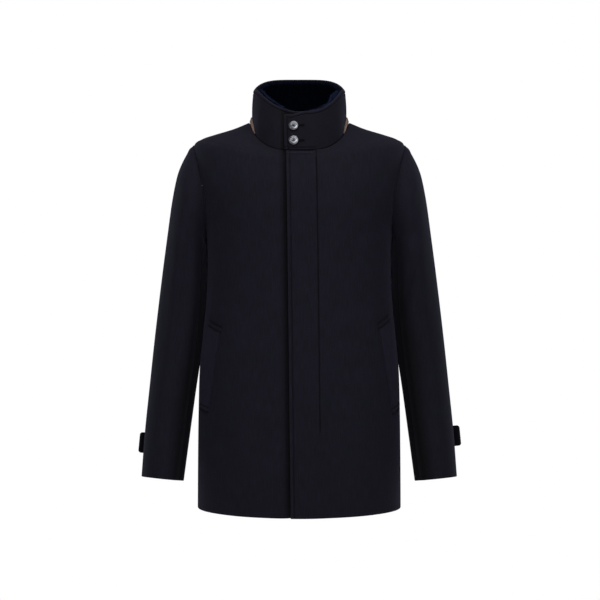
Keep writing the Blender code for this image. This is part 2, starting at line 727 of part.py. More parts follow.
def collar_seat(x, z):
    """The point of the collar's over lap at this x and height, and its outward normal."""
    share, turn = 0.5, 2 * math.pi + math.pi / 2
    for _ in range(12):
        here = collar(share, turn)
        by_share = (collar(share + STEP, turn) - here) / STEP
        by_turn = (collar(share, turn + STEP) - here) / STEP
        slopes = np.array([[by_share[0], by_turn[0]], [by_share[2], by_turn[2]]])
        change = np.linalg.solve(slopes, [x - here[0], z - here[2]])
        share, turn = share + change[0], turn + change[1]
    return collar(share, turn), normals(collar, np.array(share), np.array(turn))


def make_collar_buttons(shell):
    for name, height in COLLAR_BUTTON_HEIGHTS.items():
        seat, out = collar_seat(COLLAR_BUTTON_X, height)
        make_button(f"button_collar_{name}", seat, out, shell)


def make_strap(name, strap, cloth):
    """A cuff strap: it lies on the sleeve's back, then runs straight on to a free tip past the outer side."""
    wrapped = np.linspace(STRAP_FROM, STRAP_LEAVES, STRAP_COLUMNS + 1)
    straight = np.linspace(0, strap.free - STRAP_CORNER, 4)[1:]
    free = np.concatenate([straight, strap.free - STRAP_CORNER * np.array([0.6, 0.25, 0.0])])
    to_tip = np.concatenate([np.full(len(wrapped), strap.free), strap.free - free])
    rounding = np.clip(1 - to_tip / STRAP_CORNER, 0, 1)
    narrowing = 1 - STRAP_CORNER / STRAP_HALF_WIDTH * (1 - np.sqrt(1 - rounding**2))
    lines = []
    for across in np.linspace(-1, 1, STRAP_ROWS + 1):
        row = strap.row + STRAP_HALF_WIDTH / SLEEVE_ROW_LENGTH * across * narrowing
        points, out = sleeve(row[: len(wrapped)], wrapped)
        leave, leave_out = sleeve(row[len(wrapped) :], np.full(len(free), STRAP_LEAVES))
        ahead = unit(sleeve(row[len(wrapped) :], np.full(len(free), STRAP_LEAVES + STEP))[0] - leave)
        points = np.concatenate([points, leave + ahead * free[:, None]])
        out = np.concatenate([out, leave_out])
        lines.append((points + LAID_GAP * out, points + (LAID_GAP + STRAP_CLOTH) * out))
    inside = np.array([line[0] for line in lines])
    outside = np.array([line[1] for line in lines])
    return wall(name, mirrored(outside, strap.side), mirrored(inside, strap.side), cloth)


def make_straps(cloth, shell):
    for name, strap in STRAPS.items():
        make_strap(f"cuff_strap_{name}", strap, cloth)
        seat, out = sleeve(strap.row, STRAP_BUTTON_TURN)
        seat = seat + (LAID_GAP + STRAP_CLOTH) * out
        make_button(f"button_cuff_{name}", mirrored(seat, strap.side), mirrored(out, strap.side), shell)


def main():
    for thing in list(bpy.data.objects):
        bpy.data.objects.remove(thing)
    wool = material("navy_wool", NAVY, 0.9)
    pile = material("navy_pile", PILE_NAVY, 1.0)
    tan = material("tan_suede", TAN, 0.9)
    shell = material("grey_shell", SHELL_GREY, 0.35)
    make_front_left(wool)
    make_front_right(wool)
    make_back(wool)
    make_sleeves(wool)
    make_collar(wool)
    make_collar_pile(pile)
    make_collar_band(tan)
    make_welt("left", 1, wool)
    make_welt("right", -1, wool)
    make_collar_buttons(shell)
    make_straps(wool, shell)


main()
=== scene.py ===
"""The short coat as it looks: fine cloth sheets on the forms of the plain solids, with seams, stitches, soft
folds, pile and buttons, over a plain floor in soft studio light.

Metres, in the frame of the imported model: the wearer faces -Y, their left side is +X and the neck points lie
at z = 0. Pieces that come in pairs are worked out for the left side and mirrored for the right.
"""

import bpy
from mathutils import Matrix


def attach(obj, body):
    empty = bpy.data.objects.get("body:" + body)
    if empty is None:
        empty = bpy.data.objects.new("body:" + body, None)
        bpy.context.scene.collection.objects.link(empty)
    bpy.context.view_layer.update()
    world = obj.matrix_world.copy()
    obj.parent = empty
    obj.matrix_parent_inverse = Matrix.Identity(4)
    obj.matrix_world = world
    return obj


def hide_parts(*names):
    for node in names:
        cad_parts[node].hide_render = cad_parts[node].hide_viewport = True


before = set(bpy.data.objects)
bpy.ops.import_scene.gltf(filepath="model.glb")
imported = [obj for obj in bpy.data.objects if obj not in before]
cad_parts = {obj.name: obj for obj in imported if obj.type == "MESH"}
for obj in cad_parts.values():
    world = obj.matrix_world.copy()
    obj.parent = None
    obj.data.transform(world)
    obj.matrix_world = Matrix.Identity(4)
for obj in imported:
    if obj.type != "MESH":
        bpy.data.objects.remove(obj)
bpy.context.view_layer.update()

import math
from collections import namedtuple

import bmesh
import bpy
import numpy as np
from mathutils import Vector

RANDOM = np.random.default_rng(7)

SIDES = {"left": 1, "right": -1}

# Cloth thicknesses, the gap at seams, the gap drawn at the side and shoulder seams, and the gap under what is
# laid on a panel
CLOTH = 0.0024
COLLAR_CLOTH = 0.0040
PILE = 0.0050
BAND_CLOTH = 0.0015
SEAM_GAP = 0.0003
DRAWN_GAP = 0.000005
LAID_GAP = 1.5 * SEAM_GAP

# Body sections from hem to neck. Each is a closed outline round the body.
# level: height at the side or on the shoulder. front, back: depth from the side line.
# drop: how far the centre front hangs below the level. rise: how far the centre back stands above it.
# power: 2 is an ellipse, more is squarer.
Section = namedtuple("Section", "level half_width front back drop rise power")
BODY = [
    Section(-0.7855, 0.2075, 0.1430, 0.1440, 0.0065, 0.0000, 2.35),
    Section(-0.6900, 0.2070, 0.1420, 0.1445, 0.0040, 0.0000, 2.35),
    Section(-0.6000, 0.2060, 0.1405, 0.1425, 0.0030, 0.0000, 2.35),
    Section(-0.5050, 0.2035, 0.1385, 0.1370, 0.0020, 0.0000, 2.35),
    Section(-0.4300, 0.1965, 0.1365, 0.1290, 0.0010, 0.0000, 2.35),
    Section(-0.3630, 0.1900, 0.1350, 0.1230, 0.0000, 0.0000, 2.35),
    Section(-0.2950, 0.1875, 0.1355, 0.1220, 0.0000, 0.0000, 2.35),
    Section(-0.2350, 0.1893, 0.1370, 0.1255, 0.0000, 0.0000, 2.35),
    Section(-0.1850, 0.2000, 0.1375, 0.1290, 0.0030, 0.0000, 2.35),
    Section(-0.1300, 0.2125, 0.1340, 0.1285, 0.0130, 0.0010, 2.30),
    Section(-0.0850, 0.2180, 0.1280, 0.1210, 0.0300, 0.0050, 2.25),
    Section(-0.0470, 0.2150, 0.1215, 0.1070, 0.0500, 0.0100, 2.20),
    Section(-0.0340, 0.1990, 0.1190, 0.1000, 0.0550, 0.0120, 2.15),
    Section(-0.0255, 0.1750, 0.1162, 0.0930, 0.0565, 0.0135, 2.10),
    Section(-0.0130, 0.1340, 0.1113, 0.0815, 0.0610, 0.0135, 2.10),
    Section(0.0000, 0.1025, 0.1060, 0.0720, 0.0655, 0.0120, 2.10),
]
UNDERARM_ROW = 7
SHOULDER_ROW = 11
NECK_ROW = len(BODY) - 1
NECK_STEP = BODY[-1].level - BODY[-2].level
FRONT_DIP = 1.5
ARMHOLE_FRONT = 0.0640
ARMHOLE_BACK = 0.0700

# How an edge dips from the side (ahead 0) to the centre front (1): level up to start, then a slope
# that runs on for reach, with rounded bends
Dip = namedtuple("Dip", "start reach")
NECK_DIP = Dip(0.20, 0.72)
RIM_DIP_LEFT = Dip(0.32, 0.62)
RIM_DIP_RIGHT = Dip(0.40, 1.18)
DIP_BEND = 0.15

# Front opening: the left front laps over the right one past the centre line
OVER_LAP_HEM = 0.0165
OVER_LAP_NECK = 0.0260
UNDER_LAP = 0.0300
LAP_RAMP = 0.0300
LAP_TUCK = CLOTH + 3 * SEAM_GAP

# Sleeve rings from armhole to cuff, by the outermost and innermost points of each.
# front_lift: how far the ring's front edge is raised as the sleeve swings forward.
Ring = namedtuple("Ring", "outer_x outer_z inner_x inner_z half_depth middle_y front_lift")
SLEEVE = [
    Ring(0.2150, -0.0470, 0.1898, -0.2350, 0.0670, 0.0000, 0.0000),
    Ring(0.2280, -0.0560, 0.1905, -0.2385, 0.0715, 0.0010, 0.0000),
    Ring(0.2405, -0.0800, 0.1910, -0.2425, 0.0770, 0.0020, 0.0000),
    Ring(0.2507, -0.1130, 0.1914, -0.2480, 0.0780, 0.0030, 0.0000),
    Ring(0.2605, -0.1620, 0.1917, -0.2580, 0.0780, 0.0045, 0.0000),
    Ring(0.2695, -0.2260, 0.1919, -0.2760, 0.0765, 0.0060, 0.0000),
    Ring(0.2795, -0.3000, 0.1924, -0.3180, 0.0735, 0.0080, 0.0000),
    Ring(0.2890, -0.3760, 0.1945, -0.3900, 0.0690, 0.0090, 0.0005),
    Ring(0.2980, -0.4550, 0.2016, -0.4660, 0.0650, 0.0070, 0.0015),
    Ring(0.3065, -0.5400, 0.2120, -0.5500, 0.0610, 0.0010, 0.0030),
    Ring(0.3150, -0.6300, 0.2236, -0.6390, 0.0575, -0.0080, 0.0045),
    Ring(0.3212, -0.7225, 0.2355, -0.7315, 0.0545, -0.0180, 0.0055),
]
CAP_ROWS = 3.0
SEAM_ROWS = 0.6
SEAM_AGREE = math.cos(math.radians(45))
UNDERARM_SHARE = 0.45
ARMHOLE_GAP = 0.00008
FRONT_SEAM = math.radians(150)
BACK_SEAM = math.radians(285)

# Soft folds pressed into each sleeve. turn is degrees round it, 0 outside and 90 in front.
# top, bottom: the stretch in sleeve rows. width: half the fold's width in degrees.
# lean: degrees it turns on its way down. A negative depth is a ridge.
Fold = namedtuple("Fold", "turn top bottom width lean depth")
BACK_FOLDS = [
    Fold(210, 0.6, 5.0, 18, 0, -0.0060),
    Fold(206, 2.8, 7.4, 20, 0, -0.0070),
    Fold(206, 5.2, 9.2, 20, 0, -0.0055),
    Fold(262, 4.2, 9.2, 22, 10, 0.0042),
    Fold(318, 5.0, 8.6, 17, -8, 0.0024),
]
SLEEVE_FOLDS = {
    "right": [
        Fold(106, 2.2, 9.8, 17, -12, 0.0056),
        Fold(128, 3.0, 14.0, 9, 0, -0.0014),
        Fold(152, 3.0, 15.0, 14, 0, 0.0030),
        Fold(46, 4.6, 9.0, 17, 12, 0.0022),
        *BACK_FOLDS,
    ],
    "left": [
        Fold(128, 4.0, 14.0, 9, 0, -0.0014),
        Fold(152, 2.4, 15.0, 14, 0, 0.0030),
        Fold(86, 5.2, 7.6, 11, 60, 0.0034),
        Fold(62, 3.0, 5.6, 12, 34, 0.0022),
        Fold(84, 6.0, 10.4, 16, 14, 0.0040),
        Fold(48, 4.6, 9.0, 17, 12, 0.0018),
        *BACK_FOLDS,
    ],
}
FOLD_FADE = 1.5

# Soft creases of the body, each straight between two points seen from the front, wearer's right below zero
Crease = namedtuple("Crease", "x0 z0 x1 z1 width depth")
FRONT_CREASES = [
    Crease(-0.070, -0.050, -0.100, -0.190, 0.018, 0.0016),
    Crease(0.094, -0.030, 0.040, -0.180, 0.020, 0.0018),
    Crease(-0.180, -0.180, -0.100, -0.240, 0.014, 0.0014),
    Crease(0.182, -0.180, 0.110, -0.250, 0.014, 0.0014),
    Crease(-0.105, -0.420, -0.118, -0.900, 0.030, -0.0020),
    Crease(0.108, -0.440, 0.122, -0.900, 0.034, -0.0018),
    Crease(-0.060, -0.520, -0.052, -0.900, 0.022, 0.0014),
]
BACK_CREASES = [
    Crease(-0.178, -0.170, -0.080, -0.300, 0.018, 0.0028),
    Crease(0.180, -0.180, 0.090, -0.280, 0.016, 0.0024),
    Crease(-0.090, -0.330, -0.104, -0.900, 0.030, 0.0030),
    Crease(0.084, -0.380, 0.112, -0.900, 0.028, 0.0026),
    Crease(0.006, -0.300, -0.010, -0.560, 0.030, 0.0022),
    Crease(0.060, -0.020, 0.020, -0.140, 0.020, 0.0016),
]

# Stand collar: the rim's outline and height, and how the base steps in to make room for the band
RIM_HALF_WIDTH = 0.0935
RIM_FRONT = 0.0850
RIM_BACK = 0.0570
RIM_SIDE_Z = 0.0670
RIM_FRONT_DROP = 0.0520
RIM_BACK_RISE = 0.0300
RIM_CORNER = 0.38
RIM_CORNER_POWER = 1.5
COLLAR_BULGE = 0.0015
BASE_STEP = 0.0060
BASE_STEP_NARROWS = math.radians(18)
BASE_STEP_ENDS = math.radians(38)
COLLAR_OVER_LAP = 0.0305
COLLAR_UNDER_LAP = 0.0260
COLLAR_TUCK = COLLAR_CLOTH + 2 * SEAM_GAP
COLLAR_RAMP = 0.0360
COLLAR_SLANT = math.radians(5.2)
COLLAR_SLANT_REACH = math.radians(45)
CORNER_DROP = 0.0105
CORNER_REACH = 0.0460
CORNER_FROM = 2 * math.pi + 1
CORNER_RADIUS = 0.0065
BASE_LEVEL_SHARE = 0.3
PILE_END_RIGHT = math.radians(104)
PILE_END_LEFT = math.radians(360 + 74)
PILE_FOOT = 0.06
PILE_LEAN = 0.0040
PILE_LEANS_FROM = 0.35
ROLL_TURN = math.radians(360 + 29)
ROLL_HALF = math.radians(12)
ROLL_IN = 0.0080
ROLL_FROM = 0.25
ROLL_RISE = 0.50
# The height the pile reaches: degrees round the collar, share of the collar's own height
PILE_TOPS = [
    (104, 1.030),
    (112, 1.075),
    (128, 1.070),
    (148, 1.045),
    (168, 1.000),
    (190, 0.965),
    (350, 0.965),
    (380, 1.000),
    (400, 1.025),
    (414, 1.055),
    (434, 1.055),
]
BAND_HEIGHT = 0.17
BAND_TIP = math.radians(30)
BAND_TAPER = 0.85
BAND_CURVE = 0.8

# Welt pockets: corners as degrees forward of the side line and height
Corner = namedtuple("Corner", "forward level")
Welt = namedtuple("Welt", "top_front top_back foot_front foot_back")
WELTS = {
    "left": Welt(Corner(31.6, -0.4090), Corner(18.6, -0.3890), Corner(21.3, -0.5920), Corner(9.0, -0.5780)),
    "right": Welt(Corner(32.3, -0.4160), Corner(18.6, -0.4005), Corner(23.7, -0.5890), Corner(10.4, -0.5800)),
}
WELT_CLOTH = 0.0022

# Buttons
BUTTON_RADIUS = 0.0095
BUTTON_THICK = 0.0030
BUTTON_STAND = 0.0014
HOLE_RADIUS = 0.0010
HOLE_OFFSET = 0.0018
COLLAR_BUTTON_X = -0.0113
COLLAR_BUTTON_HEIGHTS = {"upper": -0.0165, "lower": -0.0462}

# Cuff straps. row: the strap's middle in sleeve rows. free: length of the tip that stands off the cloth.
Strap = namedtuple("Strap", "row free")
STRAPS = {"left": Strap(10.12, 0.0464), "right": Strap(10.27, 0.0424)}
STRAP_CLOTH = 0.0030
STRAP_HALF_WIDTH = 0.0210
SLEEVE_ROW_LENGTH = 0.0930
STRAP_FROM = math.radians(212)
STRAP_LEAVES = math.radians(300)
STRAP_CORNER = 0.0060
STRAP_BUTTON_TURN = math.radians(288)

# Sewing: where rows of stitches run, from the nearest edge, and how they draw the cloth down
EDGE_STITCH = 0.0076
FLY_STITCH = 0.0600
FLY_STITCH_END = -0.6220
FLY_TOP_ROW = 13.95
FLY_TOP_END = 0.0540
FLY_FADE = 0.0040
FLY_GAP_ROWS = 2.0
FLY_STITCH_PAST = 0.2
ARMHOLE_STITCH = 0.0045
RIM_STITCH = 0.0073
COLLAR_END_STITCH = 0.0070
COLLAR_FOOT_STITCH = 0.0050
STITCH_DEPTH = 0.0010
STITCH_WIDTH = 0.0008
FLY_DEPTH = 0.0018
PUFF = 0.30
PUFF_AT = 0.0030
PUFF_WIDTH = 0.0016
SEAM_DIP = 0.0004
SEAM_WIDTH = 0.0011
FLY_LIFT = 0.0022
FLY_LIFT_FROM = 0.0850
FLY_LIFT_RAMP = 0.0550
LAP_DIP = 0.0012
LAP_GROOVE = 0.0040
LAP_GROOVE_REACH = 0.0110
COLLAR_GROOVE = 0.0030
COLLAR_GROOVE_REACH = 0.0090
FLY_TOP_GAP = 0.0022

# Light and shade painted into the cloth: paler on folded edges, darker in seams, along stitches and under the
# lap
SEAM_SHADE = 0.14
NECK_SHADE = 0.55
STITCH_SHADE = 0.50
FLY_SHADE = 0.95
FLY_SHADE_LOW = -0.2500
FLY_SHADE_RAMP = 0.1500
FLY_LOW_SHARE = 0.70
# Painted highlights on folded edges and above the fly's top stitches
EDGE_HIGHLIGHT = 0.30
FLY_TOP_HIGHLIGHT = 0.0030
LAP_SHADE = 0.95
LAP_SHADE_REACH = 0.0190
LAP_SHADE_POWER = 1.5
# Painted shadow under the collar's lap and on the sleeves' sides next to the body, and painted shade over the
# whole collar
COLLAR_SHADE_REACH = 0.0100
INNER_SHADE = 1.05
COLLAR_SHADE = 0.33
# Painted highlight on the collar's sides
COLLAR_SIDE_HIGHLIGHT = 0.80
COLLAR_SIDE_FROM = 0.0740
COLLAR_SIDE_REACH = 0.0220
# Painted shade below the neck and towards the hem, and painted light on the body's sides
CHEST_SHADE = 0.16
CHEST_SHADE_REACH = 0.0400
CHEST_TOP = -0.0300
CHEST_RAMP = 0.0300
LOW_SHADE = 0.11
LOW_FROM = -0.4500
LOW_REACH = 0.4000
SIDE_PAINTED_LIGHT = 0.70
SIDE_PAINTED_LIGHT_REACH = 0.1000
SIDE_TOP = -0.2000
SIDE_RAMP = 0.0400
# Painted shadows round the collar's buttons
BUTTON_SHADOW = 0.70
BUTTON_SHADOW_FROM = 0.0088
BUTTON_SHADOW_FADE = 0.0034
# Painted highlight along the collar's rim
RIM_HIGHLIGHT = 0.80
RIM_LINE = 0.0022
SEAM_LINE = 0.0013
STITCH_LINE = 0.0011
LINE_FADE = 0.0020
DARKEST = -0.97

# Weave of the wool and depth of fine relief
RIB_SLANT = math.radians(27)
STREAK_SCALE = (420.0, 34.0, 1.0)
RELIEF = 0.0003

# Where points lie across an edge and across a row of stitches
FOLDED = np.array([0.0, 0.08, 0.3, 0.65, 1.0, 1.6])
SEWN = np.array([0.0, 0.0004, 0.0009, 0.0015, 0.0023])
ROW_OF_STITCHES = np.array([-2.6, -1.7, -1.1, -0.7, -0.35, 0.0, 0.35, 0.7, 1.1, 1.7, 2.6]) * 1e-3
ON_STITCH = len(ROW_OF_STITCHES) // 2

# Takes the upright part out of a direction; the step of a slope; points on a line that is measured
FLAT = np.array([1.0, 1.0, 0.0])
STEP = 1e-4
ROW_STEPS = 40
PLACE_ROUNDS = 12
DENSE = 241


def smooth(x):
    """0 below 0, 1 above 1, and a soft step between."""
    x = np.clip(x, 0.0, 1.0)
    return x * x * (3.0 - 2.0 * x)


def bell(distance, width):
    """1 on a line, fading to nothing on both sides of it."""
    return np.exp(-((distance / width) ** 2))


def along(table, column, at):
    """A column's value at a row position, on a smooth curve through the table's rows."""
    values = np.array([getattr(row, column) for row in table])
    at = np.clip(np.asarray(at, float), 0, len(values) - 1)
    first = np.minimum(at.astype(int), len(values) - 2)
    t = at - first
    padded = np.concatenate([[2 * values[0] - values[1]], values, [2 * values[-1] - values[-2]]])
    a, b, c, d = (padded[first + k] for k in range(4))
    return 0.5 * (2 * b + (c - a) * t + (2 * a - 5 * b + 4 * c - d) * t**2 + (3 * b - a - 3 * c + d) * t**3)


def unit(vectors):
    """Vectors at a length of 1."""
    return vectors / np.linalg.norm(vectors, axis=-1, keepdims=True)


def normals(surface, u, v):
    """Outward unit normals of a surface whose first value runs up it and second runs round it."""
    up = surface(u + STEP, v) - surface(u - STEP, v)
    round_it = surface(u, v + STEP) - surface(u, v - STEP)
    return unit(np.cross(up, round_it))


def mirrored(points, side):
    """Points of the left side as they lie on a side, 1 left and -1 right."""
    return points * np.array([side, 1.0, 1.0])


# The forms, as in the plain solids


def body(row, turn):
    """The outer surface. row counts sections from the hem; turn is 0 at the left side, 90 degrees ahead."""
    row, turn = np.broadcast_arrays(np.asarray(row, float), np.asarray(turn, float))
    side, ahead = np.cos(turn), np.sin(turn)
    in_front = ahead > 0
    depth = np.where(in_front, along(BODY, "front", row), along(BODY, "back", row))
    power = along(BODY, "power", row)
    across = np.abs(side) / along(BODY, "half_width", row)
    reach = (across**power + (np.abs(ahead) / depth) ** power) ** (-1 / power)
    hang = np.where(
        in_front,
        -along(BODY, "drop", row) * front_dip(row, np.abs(ahead)),
        along(BODY, "rise", row) * ahead**2,
    )
    return np.stack([reach * side, -reach * ahead, along(BODY, "level", row) + hang], axis=-1)


def dipped(dip, ahead):
    """Share of an edge's drop, from the side (ahead 0) to the centre front (1)."""

    def fallen(at):
        share = (at - dip.start) / dip.reach
        return np.hypot(share, DIP_BEND) - np.hypot(share - 1, DIP_BEND)

    return (fallen(ahead) - fallen(0.0)) / (fallen(1.0) - fallen(0.0))


def front_dip(row, ahead):
    """Share of a body section's drop at this distance ahead."""
    at_neck = smooth((row - SHOULDER_ROW) / (NECK_ROW - SHOULDER_ROW))
    plain_dip = ahead**FRONT_DIP
    return plain_dip + (dipped(NECK_DIP, ahead) - plain_dip) * at_neck


def row_at(level):
    """The body row whose side height is level."""
    rows = np.linspace(0, NECK_ROW, ROW_STEPS * NECK_ROW + 1)
    return np.interp(level, along(BODY, "level", rows), rows)


def turn_at_depth(row, depth, column):
    """How far from the side line, in radians, the section reaches this depth."""
    power = along(BODY, "power", row)
    share = np.clip(depth / along(BODY, column, row), 0, 1)
    across = along(BODY, "half_width", row) * (1 - share**power) ** (1 / power)
    return np.arctan2(depth, across)


def turn_past_centre(row, lap):
    """The turn of the point that lies lap past the centre front, for a left front."""
    power = along(BODY, "power", row)
    share = np.abs(lap) / along(BODY, "half_width", row)
    ahead = along(BODY, "front", row) * (1 - share**power) ** (1 / power)
    return np.arctan2(ahead, -lap)


def half_gap(row, turn):
    """The turn that half the gap of a side or shoulder seam takes up, as drawn."""
    return DRAWN_GAP / 2 / np.linalg.norm(body(row, turn)[..., :2], axis=-1)


def armhole_row_and_depth(turn):
    """Body row and depth share of the armhole's edge; turn is 0 on the shoulder, 180 degrees underarm."""
    low, high = BODY[UNDERARM_ROW].level, BODY[SHOULDER_ROW].level
    return row_at((low + high) / 2 + (high - low) / 2 * np.cos(turn)), np.abs(np.sin(turn))


def armhole(turn):
    """Edge points of the left armhole; turn is 90 degrees in front and 270 behind."""
    turn = np.asarray(turn, float)
    row, share = armhole_row_and_depth(turn)
    in_front = np.sin(turn) >= 0
    ahead = turn_at_depth(row, share * ARMHOLE_FRONT, "front")
    behind = -turn_at_depth(row, share * ARMHOLE_BACK, "back")
    angle = np.where(in_front, ahead, behind)
    return body(row, angle), normals(body, row, angle)


def over_lap(row):
    """How far past the centre line the left front's edge lies."""
    height = 1 - along(BODY, "level", row) / BODY[0].level
    return OVER_LAP_HEM + (OVER_LAP_NECK - OVER_LAP_HEM) * height


def lap_tuck(x, row):
    """How far the right front dips to pass under the left one; x is measured towards the wearer's right."""
    at_neck = smooth((row - SHOULDER_ROW) / (NECK_ROW - SHOULDER_ROW))
    below = (LAP_TUCK + LAP_DIP) * smooth((over_lap(row) + LAP_RAMP - x) / LAP_RAMP)
    below = below + LAP_GROOVE * smooth((over_lap(row) + LAP_GROOVE_REACH - x) / LAP_GROOVE_REACH)
    return below + (collar_tuck(x) - below) * at_neck


def collar_tuck(x):
    """How far the collar's right end and the neck seam below it dip to pass under the left end."""
    groove = COLLAR_GROOVE * smooth((COLLAR_OVER_LAP + COLLAR_GROOVE_REACH - x) / COLLAR_GROOVE_REACH)
    return COLLAR_TUCK * smooth((COLLAR_OVER_LAP + COLLAR_RAMP - x) / COLLAR_RAMP) + groove


def fold_depth(row, turn, folds):
    """How deep soft folds press into a sleeve."""
    depth = np.zeros(np.broadcast(row, turn).shape)
    for fold in folds:
        share = (row - fold.top) / (fold.bottom - fold.top)
        centre = fold.turn + fold.lean * share
        away = (np.degrees(turn) - centre + 180) % 360 - 180
        along_it = np.sin(np.pi * np.clip(share, 0, 1)) ** FOLD_FADE
        depth = depth + fold.depth * along_it * bell(away, fold.width)
    return depth


def plain_sleeve(row, turn):
    """A left sleeve with no folds. row counts rings from the armhole; turn is 0 outside, 90 degrees ahead."""
    row, turn = np.broadcast_arrays(np.asarray(row, float), np.asarray(turn, float))
    outer, inner = (
        np.stack([along(SLEEVE, f"{end}_x", row), 0 * row, along(SLEEVE, f"{end}_z", row)], axis=-1)
        for end in ("outer", "inner")
    )
    ring = (outer + inner) / 2 + (outer - inner) / 2 * np.cos(turn)[..., None]
    ring[..., 1] = along(SLEEVE, "middle_y", row) - along(SLEEVE, "half_depth", row) * np.sin(turn)
    ring[..., 2] += along(SLEEVE, "front_lift", row) * np.sin(turn)
    start = sleeve_start(turn)
    share = smooth(row / CAP_ROWS)[..., None]
    return start + (ring - start) * share


def sleeve_start(turn):
    """The sleeve's first ring: the armhole's edge, a seam's gap into the hole and clear of the underarm."""
    edge, out = armhole(turn)
    ahead, behind = armhole(turn + STEP)[0], armhole(turn - STEP)[0]
    inward = unit(np.cross(out, ahead - behind))
    middle = (armhole(0.0)[0] + armhole(math.pi)[0]) / 2
    towards = np.sign(np.sum(inward * (middle - edge), axis=-1, keepdims=True))
    underarm = smooth((-np.cos(turn) - 1 + UNDERARM_SHARE) / UNDERARM_SHARE)[..., None]
    return edge + ARMHOLE_GAP * towards * inward + LAID_GAP * underarm * out


def sleeve_normals(row, turn):
    """Outward normals. At the seam they lean to the body's, except where the sleeve folds back underarm."""
    out = -normals(plain_sleeve, row, turn)
    seam = armhole(turn)[1]
    agree = smooth(np.sum(out * seam, axis=-1, keepdims=True) / SEAM_AGREE)
    at_seam = smooth(1 - row / SEAM_ROWS)[..., None] * agree
    return unit(out * (1 - at_seam) + seam * at_seam)


def flat_outward(turn):
    """The level direction away from the body's middle."""
    return np.stack([np.cos(turn), -np.sin(turn), 0 * turn], axis=-1)


def base_step(turn):
    """How far the collar's base stands in from the neck seam: not at all in front, most at sides and back."""
    forward = np.arcsin(np.clip(np.sin(turn), -1, 1))
    return BASE_STEP * smooth((BASE_STEP_ENDS - forward) / (BASE_STEP_ENDS - BASE_STEP_NARROWS))


def collar_base(turn):
    """Points of the collar's lower edge."""
    seam = body(NECK_ROW, turn)
    return seam - base_step(turn)[..., None] * flat_outward(turn) + np.array([0, 0, SEAM_GAP])


def collar_rim(turn):
    """Points of the collar's upper edge."""
    side, ahead = np.cos(turn), np.sin(turn)
    depth = np.where(ahead > 0, RIM_FRONT, RIM_BACK)
    reach = ((side / RIM_HALF_WIDTH) ** 2 + (ahead / depth) ** 2) ** -0.5
    level = np.abs(ahead)
    dip = RIM_FRONT_DROP * np.where(side > 0, dipped(RIM_DIP_LEFT, level), dipped(RIM_DIP_RIGHT, level))
    rise = RIM_BACK_RISE * (1 - np.exp(-((level / RIM_CORNER) ** RIM_CORNER_POWER)))
    return np.stack([reach * side, -reach * ahead, RIM_SIDE_Z + np.where(ahead > 0, -dip, rise)], axis=-1)


def collar_ends():
    """The turns at which the collar starts, under the lap, and ends, over it."""
    start = math.atan2(BODY[-1].front, COLLAR_UNDER_LAP)
    end = 2 * math.pi + math.atan2(BODY[-1].front, -COLLAR_OVER_LAP)
    return start, end


def rim_turn(turn):
    """Where a line up the collar meets the rim: further round near the over end, which so stands upright."""
    to_end = collar_ends()[1] - turn
    return turn + COLLAR_SLANT * smooth(1 - to_end / COLLAR_SLANT_REACH)


def collar(share, turn):
    """The collar's outer surface. share runs from base to rim, turn once round and on over its own start."""
    share, turn = np.broadcast_arrays(np.asarray(share, float), np.asarray(turn, float))
    base, rim = collar_base(turn), collar_rim(rim_turn(turn))
    past_side = smooth((CORNER_REACH - COLLAR_OVER_LAP - rim[..., 0]) / CORNER_REACH)
    rim[..., 2] -= np.where(turn > CORNER_FROM, CORNER_DROP * past_side, 0)
    bulge = COLLAR_BULGE * np.sin(np.pi * np.clip(share, 0, 1))
    under = np.where(turn < math.pi, collar_tuck(-base[..., 0]), 0)
    shift = bulge - under
    return base + (rim - base) * share[..., None] + shift[..., None] * flat_outward(turn)


def pile_top(turn):
    """Share of the collar's height that its pile reaches: under the rim behind and over it in front."""
    turns, tops = np.array(PILE_TOPS).T
    at = np.interp(np.degrees(turn), turns, np.arange(len(turns)))
    first = np.minimum(at.astype(int), len(turns) - 2)
    return tops[first] + (tops[first + 1] - tops[first]) * smooth(at - first)


def pile_inwards(share, turn):
    """How far the pile's outer side lies in from the collar's."""
    lean = PILE_LEAN * smooth((share - PILE_LEANS_FROM) / (1 - PILE_LEANS_FROM))
    return COLLAR_CLOTH + SEAM_GAP + lean + ROLL_IN * pile_roll(share, turn)


def pile_roll(share, turn):
    """1 where the pile rolls furthest in."""
    return bell(turn - ROLL_TURN, ROLL_HALF) * smooth((share - ROLL_FROM) / ROLL_RISE)


def collar_place(x, z):
    """Share and turn of the point of the collar's over lap at this x and height."""
    share, turn = 0.5, 2 * math.pi + math.pi / 2
    for _ in range(PLACE_ROUNDS):
        here = collar(share, turn)
        by_share = (collar(share + STEP, turn) - here) / STEP
        by_turn = (collar(share, turn + STEP) - here) / STEP
        slopes = np.array([[by_share[0], by_turn[0]], [by_share[2], by_turn[2]]])
        change = np.linalg.solve(slopes, [x - here[0], z - here[2]])
        share, turn = share + change[0], turn + change[1]
    return np.array(share), np.array(turn)


# Finishes


def new_material(name):
    """A new material, its node tree and its shader."""
    made = bpy.data.materials.new(name)
    made.use_nodes = True
    return made, made.node_tree, made.node_tree.nodes["Principled BSDF"]


def put(tree, socket, value):
    """Gives an input a value, or links it to an output."""
    if isinstance(value, bpy.types.NodeSocket):
        tree.links.new(value, socket)
    else:
        socket.default_value = value


def node(tree, kind, inputs, output, **settings):
    """An output of a new shader node, whose settings and inputs are set."""
    made = tree.nodes.new(f"ShaderNode{kind}")
    for key, value in settings.items():
        setattr(made, key, value)
    for key, value in inputs.items():
        put(tree, made.inputs[key], value)
    return made.outputs[output]


def set_inputs(tree, shader, **values):
    """Sets a shader's inputs. Their names have a low line for each space."""
    for key, value in values.items():
        put(tree, shader.inputs[key.replace("_", " ")], value)


def place_of(tree, kind):
    """A texture coordinate, by its name."""
    return node(tree, "TexCoord", {}, kind)


